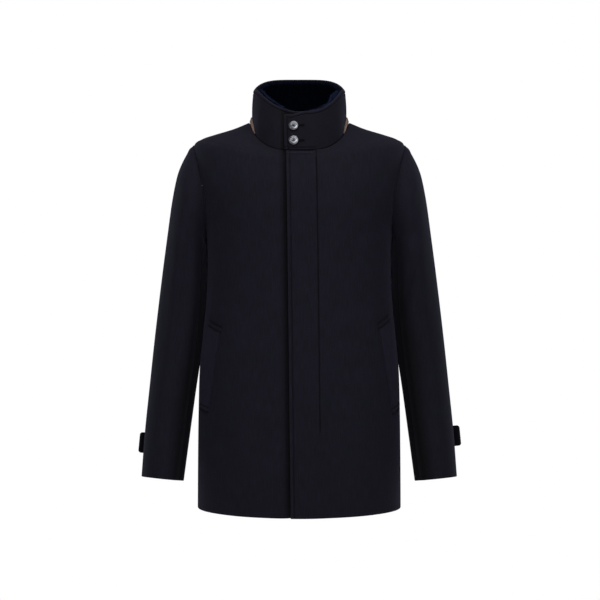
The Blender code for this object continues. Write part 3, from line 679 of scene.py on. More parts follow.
def noise(tree, place, scale, detail, roughness=0.5, distortion=0.0):
    """A noise texture's value."""
    inputs = {"Vector": place, "Scale": scale, "Detail": detail}
    inputs |= {"Roughness": roughness, "Distortion": distortion}
    return node(tree, "TexNoise", inputs, "Fac")


def relief(tree, height, strength):
    """The normal of fine relief."""
    inputs = {"Height": height, "Strength": strength, "Distance": RELIEF}
    return node(tree, "Bump", inputs, "Normal")


def blend(tree, factor, first, second):
    """A colour between two."""
    inputs = {"Factor": factor, "A": first, "B": second}
    return node(tree, "Mix", inputs, "Result", data_type="RGBA")


def weighted(tree, *pairs):
    """The sum of values, each with its weight."""
    total = 0.0
    for value, weight in pairs:
        inputs = {0: value, 1: weight, 2: total}
        total = node(tree, "Math", inputs, "Value", operation="MULTIPLY_ADD")
    return total


def shaded(tree, colour):
    """A colour made paler or darker by the mesh's shade values: light and shade painted into the colour."""
    shade = node(tree, "Attribute", {}, "Fac", attribute_name="shade")
    factor = node(tree, "Math", {0: shade, 1: 1.0}, "Value", operation="ADD")
    return node(tree, "VectorMath", {0: colour, "Scale": factor}, "Vector", operation="SCALE")


def wool():
    """Brushed twill: fine ribs and upright streaks under a nap that lightens at a glancing angle."""
    made, tree, shader = new_material("navy_wool")
    flat, place = place_of(tree, "UV"), place_of(tree, "Object")
    slant = node(tree, "Mapping", {"Vector": flat, "Rotation": (0, 0, RIB_SLANT)}, "Vector")
    wave = {"Vector": slant, "Scale": 190.0, "Distortion": 2.2, "Detail": 2.0, "Detail Scale": 1.5}
    ribs = node(tree, "TexWave", wave, "Fac")
    weave = weighted(tree, (ribs, 0.35), (noise(tree, flat, 900.0, 3.0, 0.65), 1.0))
    upright = node(tree, "Mapping", {"Vector": flat, "Scale": STREAK_SCALE}, "Vector")
    streak = {"Value": noise(tree, upright, 1.0, 2.0, 0.6), "From Min": 0.34, "From Max": 0.66}
    streaks = node(tree, "MapRange", streak, "Result")
    tone = weighted(tree, (weave, 0.25), (streaks, 0.36), (noise(tree, place, 24.0, 3.0, 0.6), 0.42))
    warm = blend(tree, tone, (0.0042, 0.0032, 0.0058, 1), (0.0162, 0.0131, 0.0258, 1))
    cool = blend(tree, tone, (0.0034, 0.0037, 0.0072, 1), (0.0138, 0.0141, 0.0300, 1))
    colour = blend(tree, noise(tree, place, 40.0, 2.0), warm, cool)
    set_inputs(tree, shader, Base_Color=shaded(tree, colour), Normal=relief(tree, weave, 0.5), Roughness=0.85)
    set_inputs(tree, shader, Specular_IOR_Level=0.2, Sheen_Weight=0.05, Sheen_Roughness=0.45)
    set_inputs(tree, shader, Sheen_Tint=(0.72, 0.66, 1.0, 1))
    return made


def pile_finish():
    """Matt pile in patches of two blues."""
    made, tree, shader = new_material("navy_pile")
    patches = noise(tree, place_of(tree, "Object"), 260.0, 4.0)
    colour = blend(tree, patches, (0.0060, 0.0090, 0.0230, 1), (0.0260, 0.0350, 0.0780, 1))
    set_inputs(tree, shader, Base_Color=shaded(tree, colour), Roughness=1.0, Specular_IOR_Level=0.0)
    return made


def suede():
    """Matt leather with a nap."""
    made, tree, shader = new_material("tan_suede")
    nap = noise(tree, place_of(tree, "Object"), 520.0, 4.0)
    colour = blend(tree, nap, (0.12, 0.075, 0.055, 1), (0.36, 0.25, 0.195, 1))
    set_inputs(tree, shader, Base_Color=colour, Normal=relief(tree, nap, 0.4), Roughness=0.95)
    set_inputs(tree, shader, Specular_IOR_Level=0.15, Sheen_Weight=0.1)
    return made


def shell():
    """Polished, faintly clouded button material, with a painted highlight towards one side."""
    made, tree, shader = new_material("grey_shell")
    place = place_of(tree, "Object")
    across, up = (node(tree, "SeparateXYZ", {"Vector": place}, axis) for axis in "XY")
    # Clouded tone, growing paler towards the button's own +x and +y: a painted highlight
    tone = weighted(tree, (noise(tree, place, 170.0, 3.0, distortion=1.6), 0.9), (across, 42.0), (up, 18.0))
    colour = blend(tree, tone, (0.030, 0.034, 0.050, 1), (0.46, 0.48, 0.56, 1))
    set_inputs(tree, shader, Base_Color=colour, Roughness=0.25, Specular_IOR_Level=1.0)
    set_inputs(tree, shader, Coat_Weight=0.6, Coat_Roughness=0.08)
    return made


def plain(name, colour, **inputs):
    """A finish of one colour."""
    made, tree, shader = new_material(name)
    set_inputs(tree, shader, Base_Color=(*colour, 1), **inputs)
    return made


def glowing(name, colour, strength):
    """A matt finish that also gives off white light."""
    glow = {"Emission_Color": (1, 1, 1, 1), "Emission_Strength": strength}
    return plain(name, colour, Roughness=1.0, Specular_IOR_Level=0.0, **glow)


# Sheets, stitches and other meshes


def run(points, axis):
    """How far along a grid's lines each point lies from the line's first one."""
    steps = np.linalg.norm(np.diff(points, axis=axis), axis=-1)
    first = np.zeros_like(np.take(steps, [0], axis=axis))
    return np.concatenate([first, np.cumsum(steps, axis=axis)], axis=axis)


def spaced(lines, near_start, near_end, between):
    """Places along each line, as shares of 0 to 1: at set distances from its ends and even between them."""
    even = np.linspace(0, 1, lines.shape[1])
    shares = []
    for reach in run(lines, 1):
        middle = np.linspace(near_start[-1], reach[-1] - near_end[-1], between + 2)[1:-1]
        at = np.r_[near_start, middle, reach[-1] - near_end[::-1]]
        shares.append(np.interp(at, reach, even))
    return np.array(shares)


def fine_grid(surface, place, near_start, near_end, between):
    """Rows, turns and points of a piece. place gives the row and turn at a share of the way across it."""
    lines = surface(*place(np.linspace(0, 1, DENSE)[None, :]))
    rows, turns = place(spaced(lines, near_start, near_end, between))
    return rows, turns, surface(rows, turns)


def press(away, depth=STITCH_DEPTH):
    """Height along a row of stitches: drawn down on it and puffed up a little on both sides."""
    return depth * (PUFF * bell(np.abs(away) - PUFF_AT, PUFF_WIDTH) - bell(away, STITCH_WIDTH))


def rounded(distance, radius):
    """How far a folded edge's face drops towards the middle of the cloth."""
    inside = np.clip(radius - distance, 0, radius)
    return radius - np.sqrt(radius**2 - inside**2)


def sewn(distance):
    """How far cloth dips into a seam."""
    return SEAM_DIP * bell(distance, SEAM_WIDTH)


def moved(points, by, out):
    """Points moved along their normals, each by its own distance."""
    return points + np.asarray(by)[..., None] * out


def cloth_faces(points, out, soft, height, drop, thick):
    """Outer and inner points of cloth: moved out by soft, the outer ones by height too, rounded by drop."""
    return moved(points, soft + height - drop, out), moved(points, soft - thick + drop, out)


def grid_normals(points, towards):
    """Unit normals of a grid of points, on the side of the given vectors."""
    out = np.cross(np.gradient(points, axis=0), np.gradient(points, axis=1))
    return unit(out * np.sign(np.sum(out * towards, axis=-1, keepdims=True)))


def add_mesh(name, points, faces, finish, slot, uv=None, shade=None):
    """A mesh that rides on the coat, with its faces turned outwards."""
    data = bpy.data.meshes.new(name)
    data.from_pydata(np.asarray(points).tolist(), [], [list(map(int, face)) for face in faces])
    # Shade values: light and shade painted on each point, which scale the colour in the material
    if shade is not None:
        values = data.attributes.new("shade", "FLOAT", "POINT").data
        values.foreach_set("value", np.asarray(shade, np.float32))
    if uv is not None:
        corners = np.empty(len(data.loops), int)
        data.loops.foreach_get("vertex_index", corners)
        data.uv_layers.new(name="UVMap").data.foreach_set("uv", uv[corners].ravel())
    mesh = bmesh.new()
    mesh.from_mesh(data)
    bmesh.ops.recalc_face_normals(mesh, faces=mesh.faces)
    if mesh.calc_volume(signed=True) < 0:
        bmesh.ops.reverse_faces(mesh, faces=mesh.faces)
    mesh.to_mesh(data)
    mesh.free()
    data.shade_smooth()
    made = linked(name, data, finish)
    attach(made, "root")
    return made


def linked(name, data, finish):
    """A mesh as an object in the scene."""
    data.materials.append(finish)
    made = bpy.data.objects.new(name, data)
    bpy.context.scene.collection.objects.link(made)
    return made


def from_bmesh(name, mesh, finish):
    """An object made from an edit mesh, which is used up."""
    data = bpy.data.meshes.new(name)
    mesh.to_mesh(data)
    mesh.free()
    return linked(name, data, finish)


def add_sheet(node_name, faces, finish, slot, shade=0.0, inner_shade=0.0):
    """A closed thin sheet between two grids of points, outer and inner, in place of a plain solid."""
    outer, inner = faces
    rows, columns = outer.shape[:2]
    index = np.arange(rows * columns).reshape(rows, columns)
    face = np.stack([index[:-1, :-1], index[:-1, 1:], index[1:, 1:], index[1:, :-1]], axis=-1).reshape(-1, 4)
    rim = np.r_[index[0], index[1:, -1], index[-1, -2::-1], index[-2:0:-1, 0]]
    after = np.roll(rim, -1)
    edge = np.stack([rim, after, after + index.size, rim + index.size], axis=-1)
    points = np.concatenate([outer.reshape(-1, 3), inner.reshape(-1, 3)])
    uv = np.stack([run(outer, 1), run(outer, 0)], axis=-1).reshape(-1, 2)
    # Painted light and shade of the outer and the inner grid
    shades = [np.broadcast_to(part, (rows, columns)).ravel() for part in (shade, inner_shade)]
    made = add_mesh(
        f"{node_name}_cloth",
        points,
        np.concatenate([face, face + index.size, edge]),
        finish,
        slot,
        np.concatenate([uv, uv]),
        np.concatenate(shades),
    )
    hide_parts(node_name)
    return made


def tubes(centre, up, side, radius, sides):
    """Points and faces of round tubes along lines of points, whose cross directions are up and side."""
    angle = 2 * np.pi * np.arange(sides)[:, None] / sides
    around = np.cos(angle) * up[..., None, :] + np.sin(angle) * side[..., None, :]
    points = centre[..., None, :] + radius * around
    index = np.arange(points.size // 3).reshape(points.shape[:-1])
    beside = np.roll(index, -1, axis=-1)
    corners = [index[..., :-1, :], beside[..., :-1, :], beside[..., 1:, :], index[..., 1:, :]]
    return points.reshape(-1, 3), np.stack(corners, axis=-1).reshape(-1, 4)


def join(parts):
    """One set of points and faces out of several."""
    points, faces, used = [], [], 0
    for part_points, part_faces in parts:
        points.append(part_points)
        faces.append(part_faces + used)
        used += len(part_points)
    return np.concatenate(points), np.concatenate(faces)


# One stitch: how far from the next, its size, and shares of its radius for its form
STITCH_PITCH = 0.0036
STITCH_LENGTH = 0.0028
STITCH_SPREAD = 0.00008
STITCH_RADIUS = 0.00036
STITCH_END = 0.25
STITCH_ARCH = 1.4
STITCH_SINK = 0.9
STITCH_RINGS = 4
STITCH_SIDES = 5


def along_line(at, reach, values):
    """Vectors at distances along a line, between those of its points."""
    return np.stack([np.interp(at, reach, column) for column in values.T], axis=-1)


def add_stitches(name, lines, thread):
    """Rows of separate stitches. Each line is its points and its outward normals."""
    share = np.linspace(0, 1, STITCH_RINGS)
    rise = np.sqrt(4 * share * (1 - share))[:, None]
    thick = STITCH_RADIUS * (STITCH_END + (1 - STITCH_END) * rise)[..., None]
    parts = []
    for path, outward in lines:
        reach = run(path[None], 1)[0]
        count = max(1, int(reach[-1] / STITCH_PITCH))
        start = (np.arange(count) + 0.5) * reach[-1] / count - STITCH_LENGTH / 2
        at = start[:, None] + STITCH_LENGTH * share + RANDOM.normal(0, STITCH_SPREAD, (count, 1))
        centre, up = along_line(at, reach, path), unit(along_line(at, reach, outward))
        side = unit(np.cross(np.gradient(centre, axis=1), up))
        centre = centre + STITCH_RADIUS * (STITCH_ARCH * rise - STITCH_SINK) * up
        parts.append(tubes(centre, up, side, thick, STITCH_SIDES))
    return add_mesh(name, *join(parts), thread, "navy_wool")


def add_sewn(node_name, side, faces, out, finishes, places, shade, inner_shade=0.0):
    """A wool sheet on a side, and its stitches. Each place picks one line's points out of the outer grid."""
    cloth, thread = finishes
    outer, inner = (mirrored(face, side) for face in faces)
    made = add_sheet(node_name, (outer, inner), cloth, "navy_wool", shade, inner_shade)
    facing = grid_normals(outer, mirrored(out, side))
    lines = [(outer[place], facing[place]) for place in places]
    return made, add_stitches(f"{node_name}_stitches", lines, thread)


def creased(points, creases):
    """How far soft creases press into a panel."""
    depth = np.zeros(points.shape[:2])
    for c in creases:
        ahead = np.array([c.x1 - c.x0, c.z1 - c.z0])
        length = np.linalg.norm(ahead)
        x, z = points[..., 0] - c.x0, points[..., 2] - c.z0
        share = (x * ahead[0] + z * ahead[1]) / length**2
        away = (x * ahead[1] - z * ahead[0]) / length
        depth += c.depth * np.sin(np.pi * np.clip(share, 0, 1)) * bell(away, c.width)
    return depth


# Fronts and back

# How many rows of points a body panel has below, beside and above the armhole and next to the neck seam
ROWS_BELOW = 90
ROWS_BESIDE = 64
ROWS_ABOVE = 24
ROWS_AT_NECK = 8
ROW_STEP = 0.05
FRONT_COLUMNS = 44
BACK_COLUMNS = 76

# Distances from an edge at which columns of points lie, and the column under each row of stitches
SIDE_EDGE = np.r_[SEWN[:-1], ARMHOLE_STITCH + ROW_OF_STITCHES[1:], 0.010, 0.014]
SIDE_STITCH = len(SEWN) + ON_STITCH - 2
BEFORE_STITCH = [0.0032, 0.0052]
OPENING_EDGE = np.r_[FOLDED * CLOTH / 2, BEFORE_STITCH, EDGE_STITCH + ROW_OF_STITCHES]
OPENING_STITCH = len(FOLDED) + len(BEFORE_STITCH) + ON_STITCH
ON_FLY = [0.016, 0.021, 0.027, 0.034, 0.041, 0.048, 0.054]
FLY_EDGE = np.r_[OPENING_EDGE, ON_FLY, FLY_STITCH + ROW_OF_STITCHES]
FLY_COLUMN = len(OPENING_EDGE) + len(ON_FLY) + ON_STITCH


def fine_rows():
    """Row positions of a body panel from hem to neck: along its middle, along its armhole side, the armhole's
    depth share at each, and whether the armhole runs there."""
    hem = FOLDED * CLOTH / 2 / (BODY[1].level - BODY[0].level)
    below = np.r_[hem, np.linspace(ROW_STEP, UNDERARM_ROW, ROWS_BELOW)[:-1]]
    beside, share = armhole_row_and_depth(np.linspace(math.pi, 0, ROWS_BESIDE))
    even = np.linspace(UNDERARM_ROW, SHOULDER_ROW, ROWS_BESIDE)
    fly_top = FLY_TOP_ROW + ROW_OF_STITCHES / NECK_STEP
    end = NECK_ROW - SEWN[::-1] / NECK_STEP
    upper = np.linspace(fly_top[-1], end[0], ROWS_AT_NECK)[1:-1]
    lower = np.linspace(SHOULDER_ROW, fly_top[0] - ROW_STEP, ROWS_ABOVE)[1:]
    above = np.r_[lower, fly_top, upper, end]
    middle = np.r_[below, even, above]
    edge = np.r_[below, beside, above]
    shares, here = np.zeros(len(edge)), np.zeros(len(edge), bool)
    armhole_rows = slice(len(below), len(below) + ROWS_BESIDE)
    shares[armhole_rows], here[armhole_rows] = share, True
    return middle[:, None], edge[:, None], shares[:, None], here[:, None]


def front_shade(points, from_side, from_neck):
    """Painted light and shade of a front: shade below the neck and towards the hem, light at the side."""
    z = points[..., 2]
    chest = (1 - smooth(from_neck / CHEST_SHADE_REACH)) * smooth((CHEST_TOP - z) / CHEST_RAMP)
    at_side = (1 - smooth(from_side / SIDE_PAINTED_LIGHT_REACH)) * smooth((SIDE_TOP - z) / SIDE_RAMP)
    return SIDE_PAINTED_LIGHT * at_side - CHEST_SHADE * chest - LOW_SHADE * smooth((LOW_FROM - z) / LOW_REACH)


def fly_shade(points, across, to_top, fly_top, on_fly):
    """Painted light and shade of the covered opening: highlights on folded edges, shade along lines of
    stitches.
    """
    painted_highlight = np.maximum(smooth(1 - across / EDGE_STITCH), smooth(to_top / FLY_TOP_HIGHLIGHT) * fly_top)
    edge_line = bell(across - EDGE_STITCH, STITCH_LINE) * smooth(-to_top / LINE_FADE)
    within = smooth((FLY_TOP_END - across) / LINE_FADE) * smooth((across - EDGE_STITCH) / LINE_FADE)
    top_line = bell(to_top, STITCH_LINE) * within
    fading = FLY_LOW_SHARE + (1 - FLY_LOW_SHARE) * smooth((points[..., 2] - FLY_SHADE_LOW) / FLY_SHADE_RAMP)
    fly_line = bell(across - FLY_STITCH, STITCH_LINE) * on_fly * fading
    return EDGE_HIGHLIGHT * painted_highlight - STITCH_SHADE * (edge_line + top_line) - FLY_SHADE * fly_line


def add_front(name, side, finishes):
    """A front and its stitches. The left one laps over, with a covered fly; the right one passes under."""
    over = side > 0
    middle, edge, shares, beside = fine_rows()
    opening = turn_past_centre(middle, over_lap(middle) if over else np.full_like(middle, UNDER_LAP))
    outer_turn = turn_at_depth(edge, shares * ARMHOLE_FRONT, "front")
    outer_turn = outer_turn + half_gap(edge, outer_turn)

    def place(shift):
        return middle + (edge - middle) * shift, opening + (outer_turn - opening) * shift

    near_opening = FLY_EDGE if over else OPENING_EDGE
    rows, turns, points = fine_grid(body, place, near_opening, SIDE_EDGE, FRONT_COLUMNS)
    out = normals(body, rows, turns)
    if not over:
        points = moved(points, -lap_tuck(points[..., 0], rows), unit(out * FLAT))
    across, up = run(points, 1), run(points, 0)
    from_side, from_neck = across[:, -1:] - across, up[-1:] - up
    free_edge = np.minimum(across, up)
    soft = -creased(mirrored(points, side), FRONT_CREASES)
    height = press(from_side - ARMHOLE_STITCH) * beside
    # Painted shade in the armhole seam and along its stitches
    stitch_line = STITCH_SHADE / 2 * bell(from_side - ARMHOLE_STITCH, STITCH_LINE)
    shade = front_shade(points, from_side, from_neck)
    shade = shade - (SEAM_SHADE * bell(from_side, SEAM_LINE) + stitch_line) * beside
    here = np.flatnonzero(beside[:, 0])
    places = [(here, -1 - SIDE_STITCH)]
    if over:
        to_top = (rows - FLY_TOP_ROW) * NECK_STEP
        fly_top = smooth((FLY_TOP_END + FLY_FADE - across) / FLY_FADE)
        on_fly = smooth((points[..., 2] - FLY_STITCH_END) / FLY_FADE)
        in_seam = 1 - fly_top
        free_edge = np.minimum(free_edge, from_neck + CLOTH * in_seam)
        soft = soft + FLY_LIFT * smooth((FLY_LIFT_FROM - across) / FLY_LIFT_RAMP)
        height = height + press(across - EDGE_STITCH) + press(to_top) * fly_top
        height = height + press(across - FLY_STITCH, FLY_DEPTH) * on_fly
        points[..., 2] -= FLY_TOP_GAP * fly_top * smooth((rows - SHOULDER_ROW) / FLY_GAP_ROWS - 1)
        shade = shade + fly_shade(points, across, to_top, fly_top, on_fly)
        top = np.flatnonzero(np.isclose(rows[:, 0], FLY_TOP_ROW))[0]
        below_top = rows[:, 0] < FLY_TOP_ROW + FLY_STITCH_PAST
        places += [
            (slice(top + 1), OPENING_STITCH),
            ((points[:, FLY_COLUMN, 2] > FLY_STITCH_END) & below_top, FLY_COLUMN),
            (top, slice(OPENING_STITCH, FLY_COLUMN - ON_STITCH)),
        ]
    else:
        in_seam = 1.0
        # Painted shadow of the left front's edge on the right front beside it
        beyond = (over_lap(rows) + LAP_SHADE_REACH - points[..., 0]) / LAP_SHADE_REACH
        shade = shade - LAP_SHADE * smooth(beyond) ** LAP_SHADE_POWER
    # Painted shade in the neck seam, but not under the fly's free top
    shade = np.maximum(shade - NECK_SHADE * bell(from_neck, SEAM_LINE) * in_seam, DARKEST)
    seam = np.maximum(sewn(from_side), sewn(from_neck) * in_seam)
    faces = cloth_faces(points, out, soft, height - seam, rounded(free_edge, CLOTH / 2), CLOTH)
    return add_sewn(name, side, faces, out, finishes, places, shade)


def add_back(finishes):
    """The back, with the stitches beside its armholes."""
    middle, edge, shares, beside = fine_rows()
    outer_turn = turn_at_depth(edge, shares * ARMHOLE_BACK, "back")
    outer_turn = outer_turn + half_gap(edge, -outer_turn)

    def place(shift):
        rows = edge + (middle - edge) * 4 * shift * (1 - shift)
        return rows, -outer_turn - (math.pi - 2 * outer_turn) * shift

    rows, turns, points = fine_grid(body, place, SIDE_EDGE, SIDE_EDGE, BACK_COLUMNS)
    out = normals(body, rows, turns)
    across, up = run(points, 1), run(points, 0)
    from_side, from_neck = np.minimum(across, across[:, -1:] - across), up[-1:] - up
    soft = -creased(points, BACK_CREASES)
    height = press(from_side - ARMHOLE_STITCH) * beside
    seam = sewn(np.minimum(from_side, from_neck))
    faces = cloth_faces(points, out, soft, height - seam, rounded(up, CLOTH / 2), CLOTH)
    # Painted shade in the side and neck seams
    shade = -SEAM_SHADE * bell(from_side, SEAM_LINE) - NECK_SHADE * bell(from_neck, SEAM_LINE)
    here = np.flatnonzero(beside[:, 0])
    places = [(here, SIDE_STITCH), (here, -1 - SIDE_STITCH)]
    return add_sewn("back", 1, faces, out, finishes, places, shade)


# Sleeves

EDGE_ROWS = [0.0, 0.012, 0.03, 0.055, 0.09, 0.14, 0.2, 0.3]
CUFF_ROW = len(SLEEVE) - 1
CUFF_ROWS = CUFF_ROW - FOLDED[::-1] * CLOTH / 2 / SLEEVE_ROW_LENGTH
SLEEVE_FIRST_ROW = 0.4
SLEEVE_LAST_GAP = 0.05
SLEEVE_MIDDLE_ROWS = 150
MIDDLE_ROWS = np.linspace(SLEEVE_FIRST_ROW, CUFF_ROW - SLEEVE_LAST_GAP, SLEEVE_MIDDLE_ROWS)
SLEEVE_ROWS = np.r_[EDGE_ROWS, MIDDLE_ROWS, CUFF_ROWS][:, None]
SLEEVE_COLUMNS = 64
CAP_PUFF = 0.0016
CAP_PUFF_AT = 0.011
CAP_PUFF_WIDTH = 0.008
CAP_PUFF_REACH = 0.6
# Painted shade of the sleeves: in their seams, a little all round further down, and on the side next to the
# body
SLEEVE_SEAM_SHADE = 0.80
SLEEVE_SEAM_LINE = 0.0024
SLEEVE_SHADES = {"right": 0.05, "left": 0.16}
SLEEVE_SHADE_TOP = 4.0
SLEEVE_SHADE_RAMP = 3.0
INNER_TOP = 2.5
INNER_RAMP = 2.0
INNER_TO = 236.0
INNER_FADE = 21.0
INNER_POWER = 1.2

# Painted shadow on the sleeves' sides next to the body: by sleeve row, the degrees where it starts and is
# deepest
INNER_SHADOWS = {
    "right": [
        (0.0, 126, 144),
        (6.2, 125, 144),
        (6.9, 120, 145),
        (7.7, 106, 147),
        (8.5, 98, 142),
        (9.2, 92, 138),
        (11.0, 102, 142),
    ],
    "left": [
        (0.0, 116, 148),
        (6.0, 114, 147),
        (6.9, 110, 145),
        (7.7, 84, 146),
        (8.5, 76, 145),
        (9.7, 92, 138),
        (11.0, 94, 131),
    ],
}


def sleeve_shade(side_name, rows, turns):
    """Painted shade of a sleeve: a little darker further down, and deep on the side next to the body."""
    turned = np.degrees(turns)
    at, starts, deepest = np.array(INNER_SHADOWS[side_name]).T
    start, deep = np.interp(rows, at, starts), np.interp(rows, at, deepest)
    inner_side = np.clip((turned - start) / (deep - start), 0, 1) ** INNER_POWER
    inner_side = inner_side * smooth((rows - INNER_TOP) / INNER_RAMP)
    lower = smooth((rows - SLEEVE_SHADE_TOP) / SLEEVE_SHADE_RAMP)
    before_back = smooth((INNER_TO - turned) / INNER_FADE)
    return -before_back * (INNER_SHADE * inner_side + SLEEVE_SHADES[side_name] * lower)


def add_sleeve_piece(name, side_name, first, last, cloth):
    """The part of a sleeve that lies between two turns."""
    gap = SEAM_GAP / 2 / along(SLEEVE, "half_depth", SLEEVE_ROWS)

    def place(shift):
        return np.broadcast_arrays(SLEEVE_ROWS, first + gap + (last - first - 2 * gap) * shift)

    rows, turns, points = fine_grid(plain_sleeve, place, SEWN, SEWN, SLEEVE_COLUMNS)
    out = sleeve_normals(rows, turns)
    across, down = run(points, 1), run(points, 0)
    to_seam = np.minimum(across, across[:, -1:] - across)
    soft = -fold_depth(rows, turns, SLEEVE_FOLDS[side_name])
    cap = CAP_PUFF * bell(down - CAP_PUFF_AT, CAP_PUFF_WIDTH) * smooth(np.cos(turns) + CAP_PUFF_REACH)
    height = cap - sewn(np.minimum(to_seam, down))
    faces = cloth_faces(points, out, soft, height, rounded(down[-1:] - down, CLOTH / 2), CLOTH)
    faces = [mirrored(face, SIDES[side_name]) for face in faces]
    shade = sleeve_shade(side_name, rows, turns) - SEAM_SHADE * bell(down, SEAM_LINE)
    shade = np.maximum(shade - SLEEVE_SEAM_SHADE * bell(to_seam, SLEEVE_SEAM_LINE), DARKEST)
    return add_sheet(name, faces, cloth, "navy_wool", shade, shade)


# Collar

COLLAR_ROWS = 26
COLLAR_COLUMNS = 220
COLLAR_EDGE = FOLDED * COLLAR_CLOTH / 2
COLLAR_END = np.r_[COLLAR_EDGE, COLLAR_END_STITCH + ROW_OF_STITCHES[1:]]
COLLAR_FOOT = np.r_[SEWN[:-1], COLLAR_FOOT_STITCH + ROW_OF_STITCHES]
COLLAR_RIM = np.r_[COLLAR_EDGE, RIM_STITCH + ROW_OF_STITCHES]
COLLAR_END_COLUMN = len(COLLAR_EDGE) + ON_STITCH - 1
COLLAR_FOOT_LINE = len(SEWN) + ON_STITCH - 1
COLLAR_RIM_LINE = len(COLLAR_EDGE) + ON_STITCH
# Its foot is free past the fly's top: how far on that shows, and how far on it is stitched
FOOT_FREE_PAST = 0.0060
FOOT_FREE_FADE = 0.0040
FOOT_STITCH_PAST = 0.0030
# Where the stitches at its rim and end start to draw it in
RIM_PRESS_FROM = 0.0040
END_PRESS_FROM = 0.0050
PRESS_FADE = 0.0030
OVER_RAMP = 0.1
# Offset of the buttons' painted shadows, and where the lap's painted shadow starts below the rim
BUTTON_SHADOW_X = 0.0006
BUTTON_SHADOW_Z = -0.0010
LAP_SHADE_TOP = 0.0015
LAP_SHADE_FADE = 0.0040


def collar_grid():
    """Shares, turns and distances to the over end of fine points, with that end's top corner rounded off."""
    start, end = collar_ends()
    middle = collar(np.full((1, 4 * DENSE), 0.5), np.linspace(start, end, 4 * DENSE)[None, :])
    shares = spaced(middle, COLLAR_EDGE, COLLAR_END, COLLAR_COLUMNS)[0]
    turns = start + (end - start) * shares
    to_end = (1 - shares) * run(middle, 1)[0, -1]
    height = np.linalg.norm(collar_rim(rim_turn(turns)) - collar_base(turns), axis=-1)
    top = 1 - rounded(to_end, CORNER_RADIUS) / height
    lines = collar(np.linspace(0, 1, DENSE)[None, :] * top[:, None], turns[:, None])
    rows = spaced(lines, COLLAR_FOOT, COLLAR_RIM, COLLAR_ROWS) * top[:, None]
    return rows.T, turns[None, :], to_end[None, :]


def collar_shade(points, turns, up, to_end, free_foot):
    """Painted light and shade of the collar: lit edges and sides, dark stitches, shadows under the lap and
    buttons.
    """
    x, z, from_rim = points[..., 0], points[..., 2], up[-1:] - up
    over_end = smooth(1 - to_end / COLLAR_END_STITCH) * smooth((turns - math.pi) / OVER_RAMP)
    painted_highlight = EDGE_HIGHLIGHT * np.maximum(smooth(1 - from_rim / RIM_STITCH), over_end)
    painted_highlight = painted_highlight + COLLAR_SIDE_HIGHLIGHT * smooth((np.abs(x) - COLLAR_SIDE_FROM) / COLLAR_SIDE_REACH)
    before_end = smooth((to_end - COLLAR_END_STITCH) / LINE_FADE)
    foot_line = bell(up - COLLAR_FOOT_STITCH, STITCH_LINE) * free_foot
    stitches = (bell(from_rim - RIM_STITCH, STITCH_LINE) + foot_line) * before_end
    end_line = bell(to_end - COLLAR_END_STITCH, STITCH_LINE) * smooth((from_rim - RIM_STITCH) / LINE_FADE)
    shade = painted_highlight + RIM_HIGHLIGHT * bell(from_rim, RIM_LINE) - COLLAR_SHADE
    shade = shade - STITCH_SHADE * (stitches + end_line)
    shade = shade - NECK_SHADE * bell(up, SEAM_LINE) * (1 - free_foot)
    for button_z in COLLAR_BUTTON_HEIGHTS.values():
        away = np.hypot(x - COLLAR_BUTTON_X - BUTTON_SHADOW_X, z - button_z - BUTTON_SHADOW_Z)
        near = 1 - smooth((away - BUTTON_SHADOW_FROM) / BUTTON_SHADOW_FADE)
        shade = shade - BUTTON_SHADOW * near * (turns > math.pi)
    beyond = smooth((COLLAR_OVER_LAP + COLLAR_SHADE_REACH + x) / COLLAR_SHADE_REACH) ** LAP_SHADE_POWER
    under_lap = beyond * (turns < math.pi) * smooth((from_rim - LAP_SHADE_TOP) / LAP_SHADE_FADE)
    return np.maximum(shade - LAP_SHADE * under_lap, DARKEST)


def add_collar(finishes, slit):
    """The collar with its stitches and buttonholes."""
    shares, turns, to_end = collar_grid()
    points, out = collar(shares, turns), normals(collar, shares, turns)
    up = run(points, 0)
    from_rim = up[-1:] - up
    free_foot = smooth((FLY_TOP_END + FOOT_FREE_PAST - to_end) / FOOT_FREE_FADE)
    edge = np.minimum(np.minimum(from_rim, to_end), run(points, 1))
    edge = np.minimum(edge, up + COLLAR_CLOTH * (1 - free_foot))
    rim_press = press(from_rim - RIM_STITCH) * smooth((to_end - RIM_PRESS_FROM) / PRESS_FADE)
    end_press = press(to_end - COLLAR_END_STITCH)
    end_press = end_press * smooth((from_rim - END_PRESS_FROM) / PRESS_FADE)
    foot_press = press(up - COLLAR_FOOT_STITCH) * free_foot - sewn(up) * (1 - free_foot)
    drop = rounded(edge, COLLAR_CLOTH / 2)
    level = (1 - smooth(shares / BASE_LEVEL_SHARE))[..., None]
    inwards = unit(out * (1 - level) + unit(out * FLAT) * level)
    outer = moved(points, rim_press + end_press + foot_press - drop, out)
    inner = moved(points, drop - COLLAR_CLOTH, inwards)
    shade = collar_shade(points, turns, up, to_end, free_foot)
    foot, rim = COLLAR_FOOT_LINE, len(outer) - 1 - COLLAR_RIM_LINE
    whole = to_end[0] >= COLLAR_END_STITCH
    free = whole & (to_end[0] < FLY_TOP_END + FOOT_STITCH_PAST)
    places = [(rim, whole), (foot, free), (slice(foot, rim), -1 - COLLAR_END_COLUMN)]
    made = list(add_sewn("collar", 1, (outer, inner), out, finishes, places, shade))
    for name, z in COLLAR_BUTTON_HEIGHTS.items():
        made += add_buttonhole(name, z, finishes[1], slit)
    return made


# Buttonholes. Shares are of the hole's length, from the button's middle.
HOLE_LENGTH = 0.0215
HOLE_STITCHES = 30
HOLE_STITCH = 0.0017
HOLE_START = 0.06
HOLE_LIFT = 0.0002
HOLE_BAR_AT = 0.96
HOLE_BAR_STITCHES = 7
HOLE_BAR = 0.0018
SLIT_HALF = 0.0006
SLIT_LIFT = 0.0003
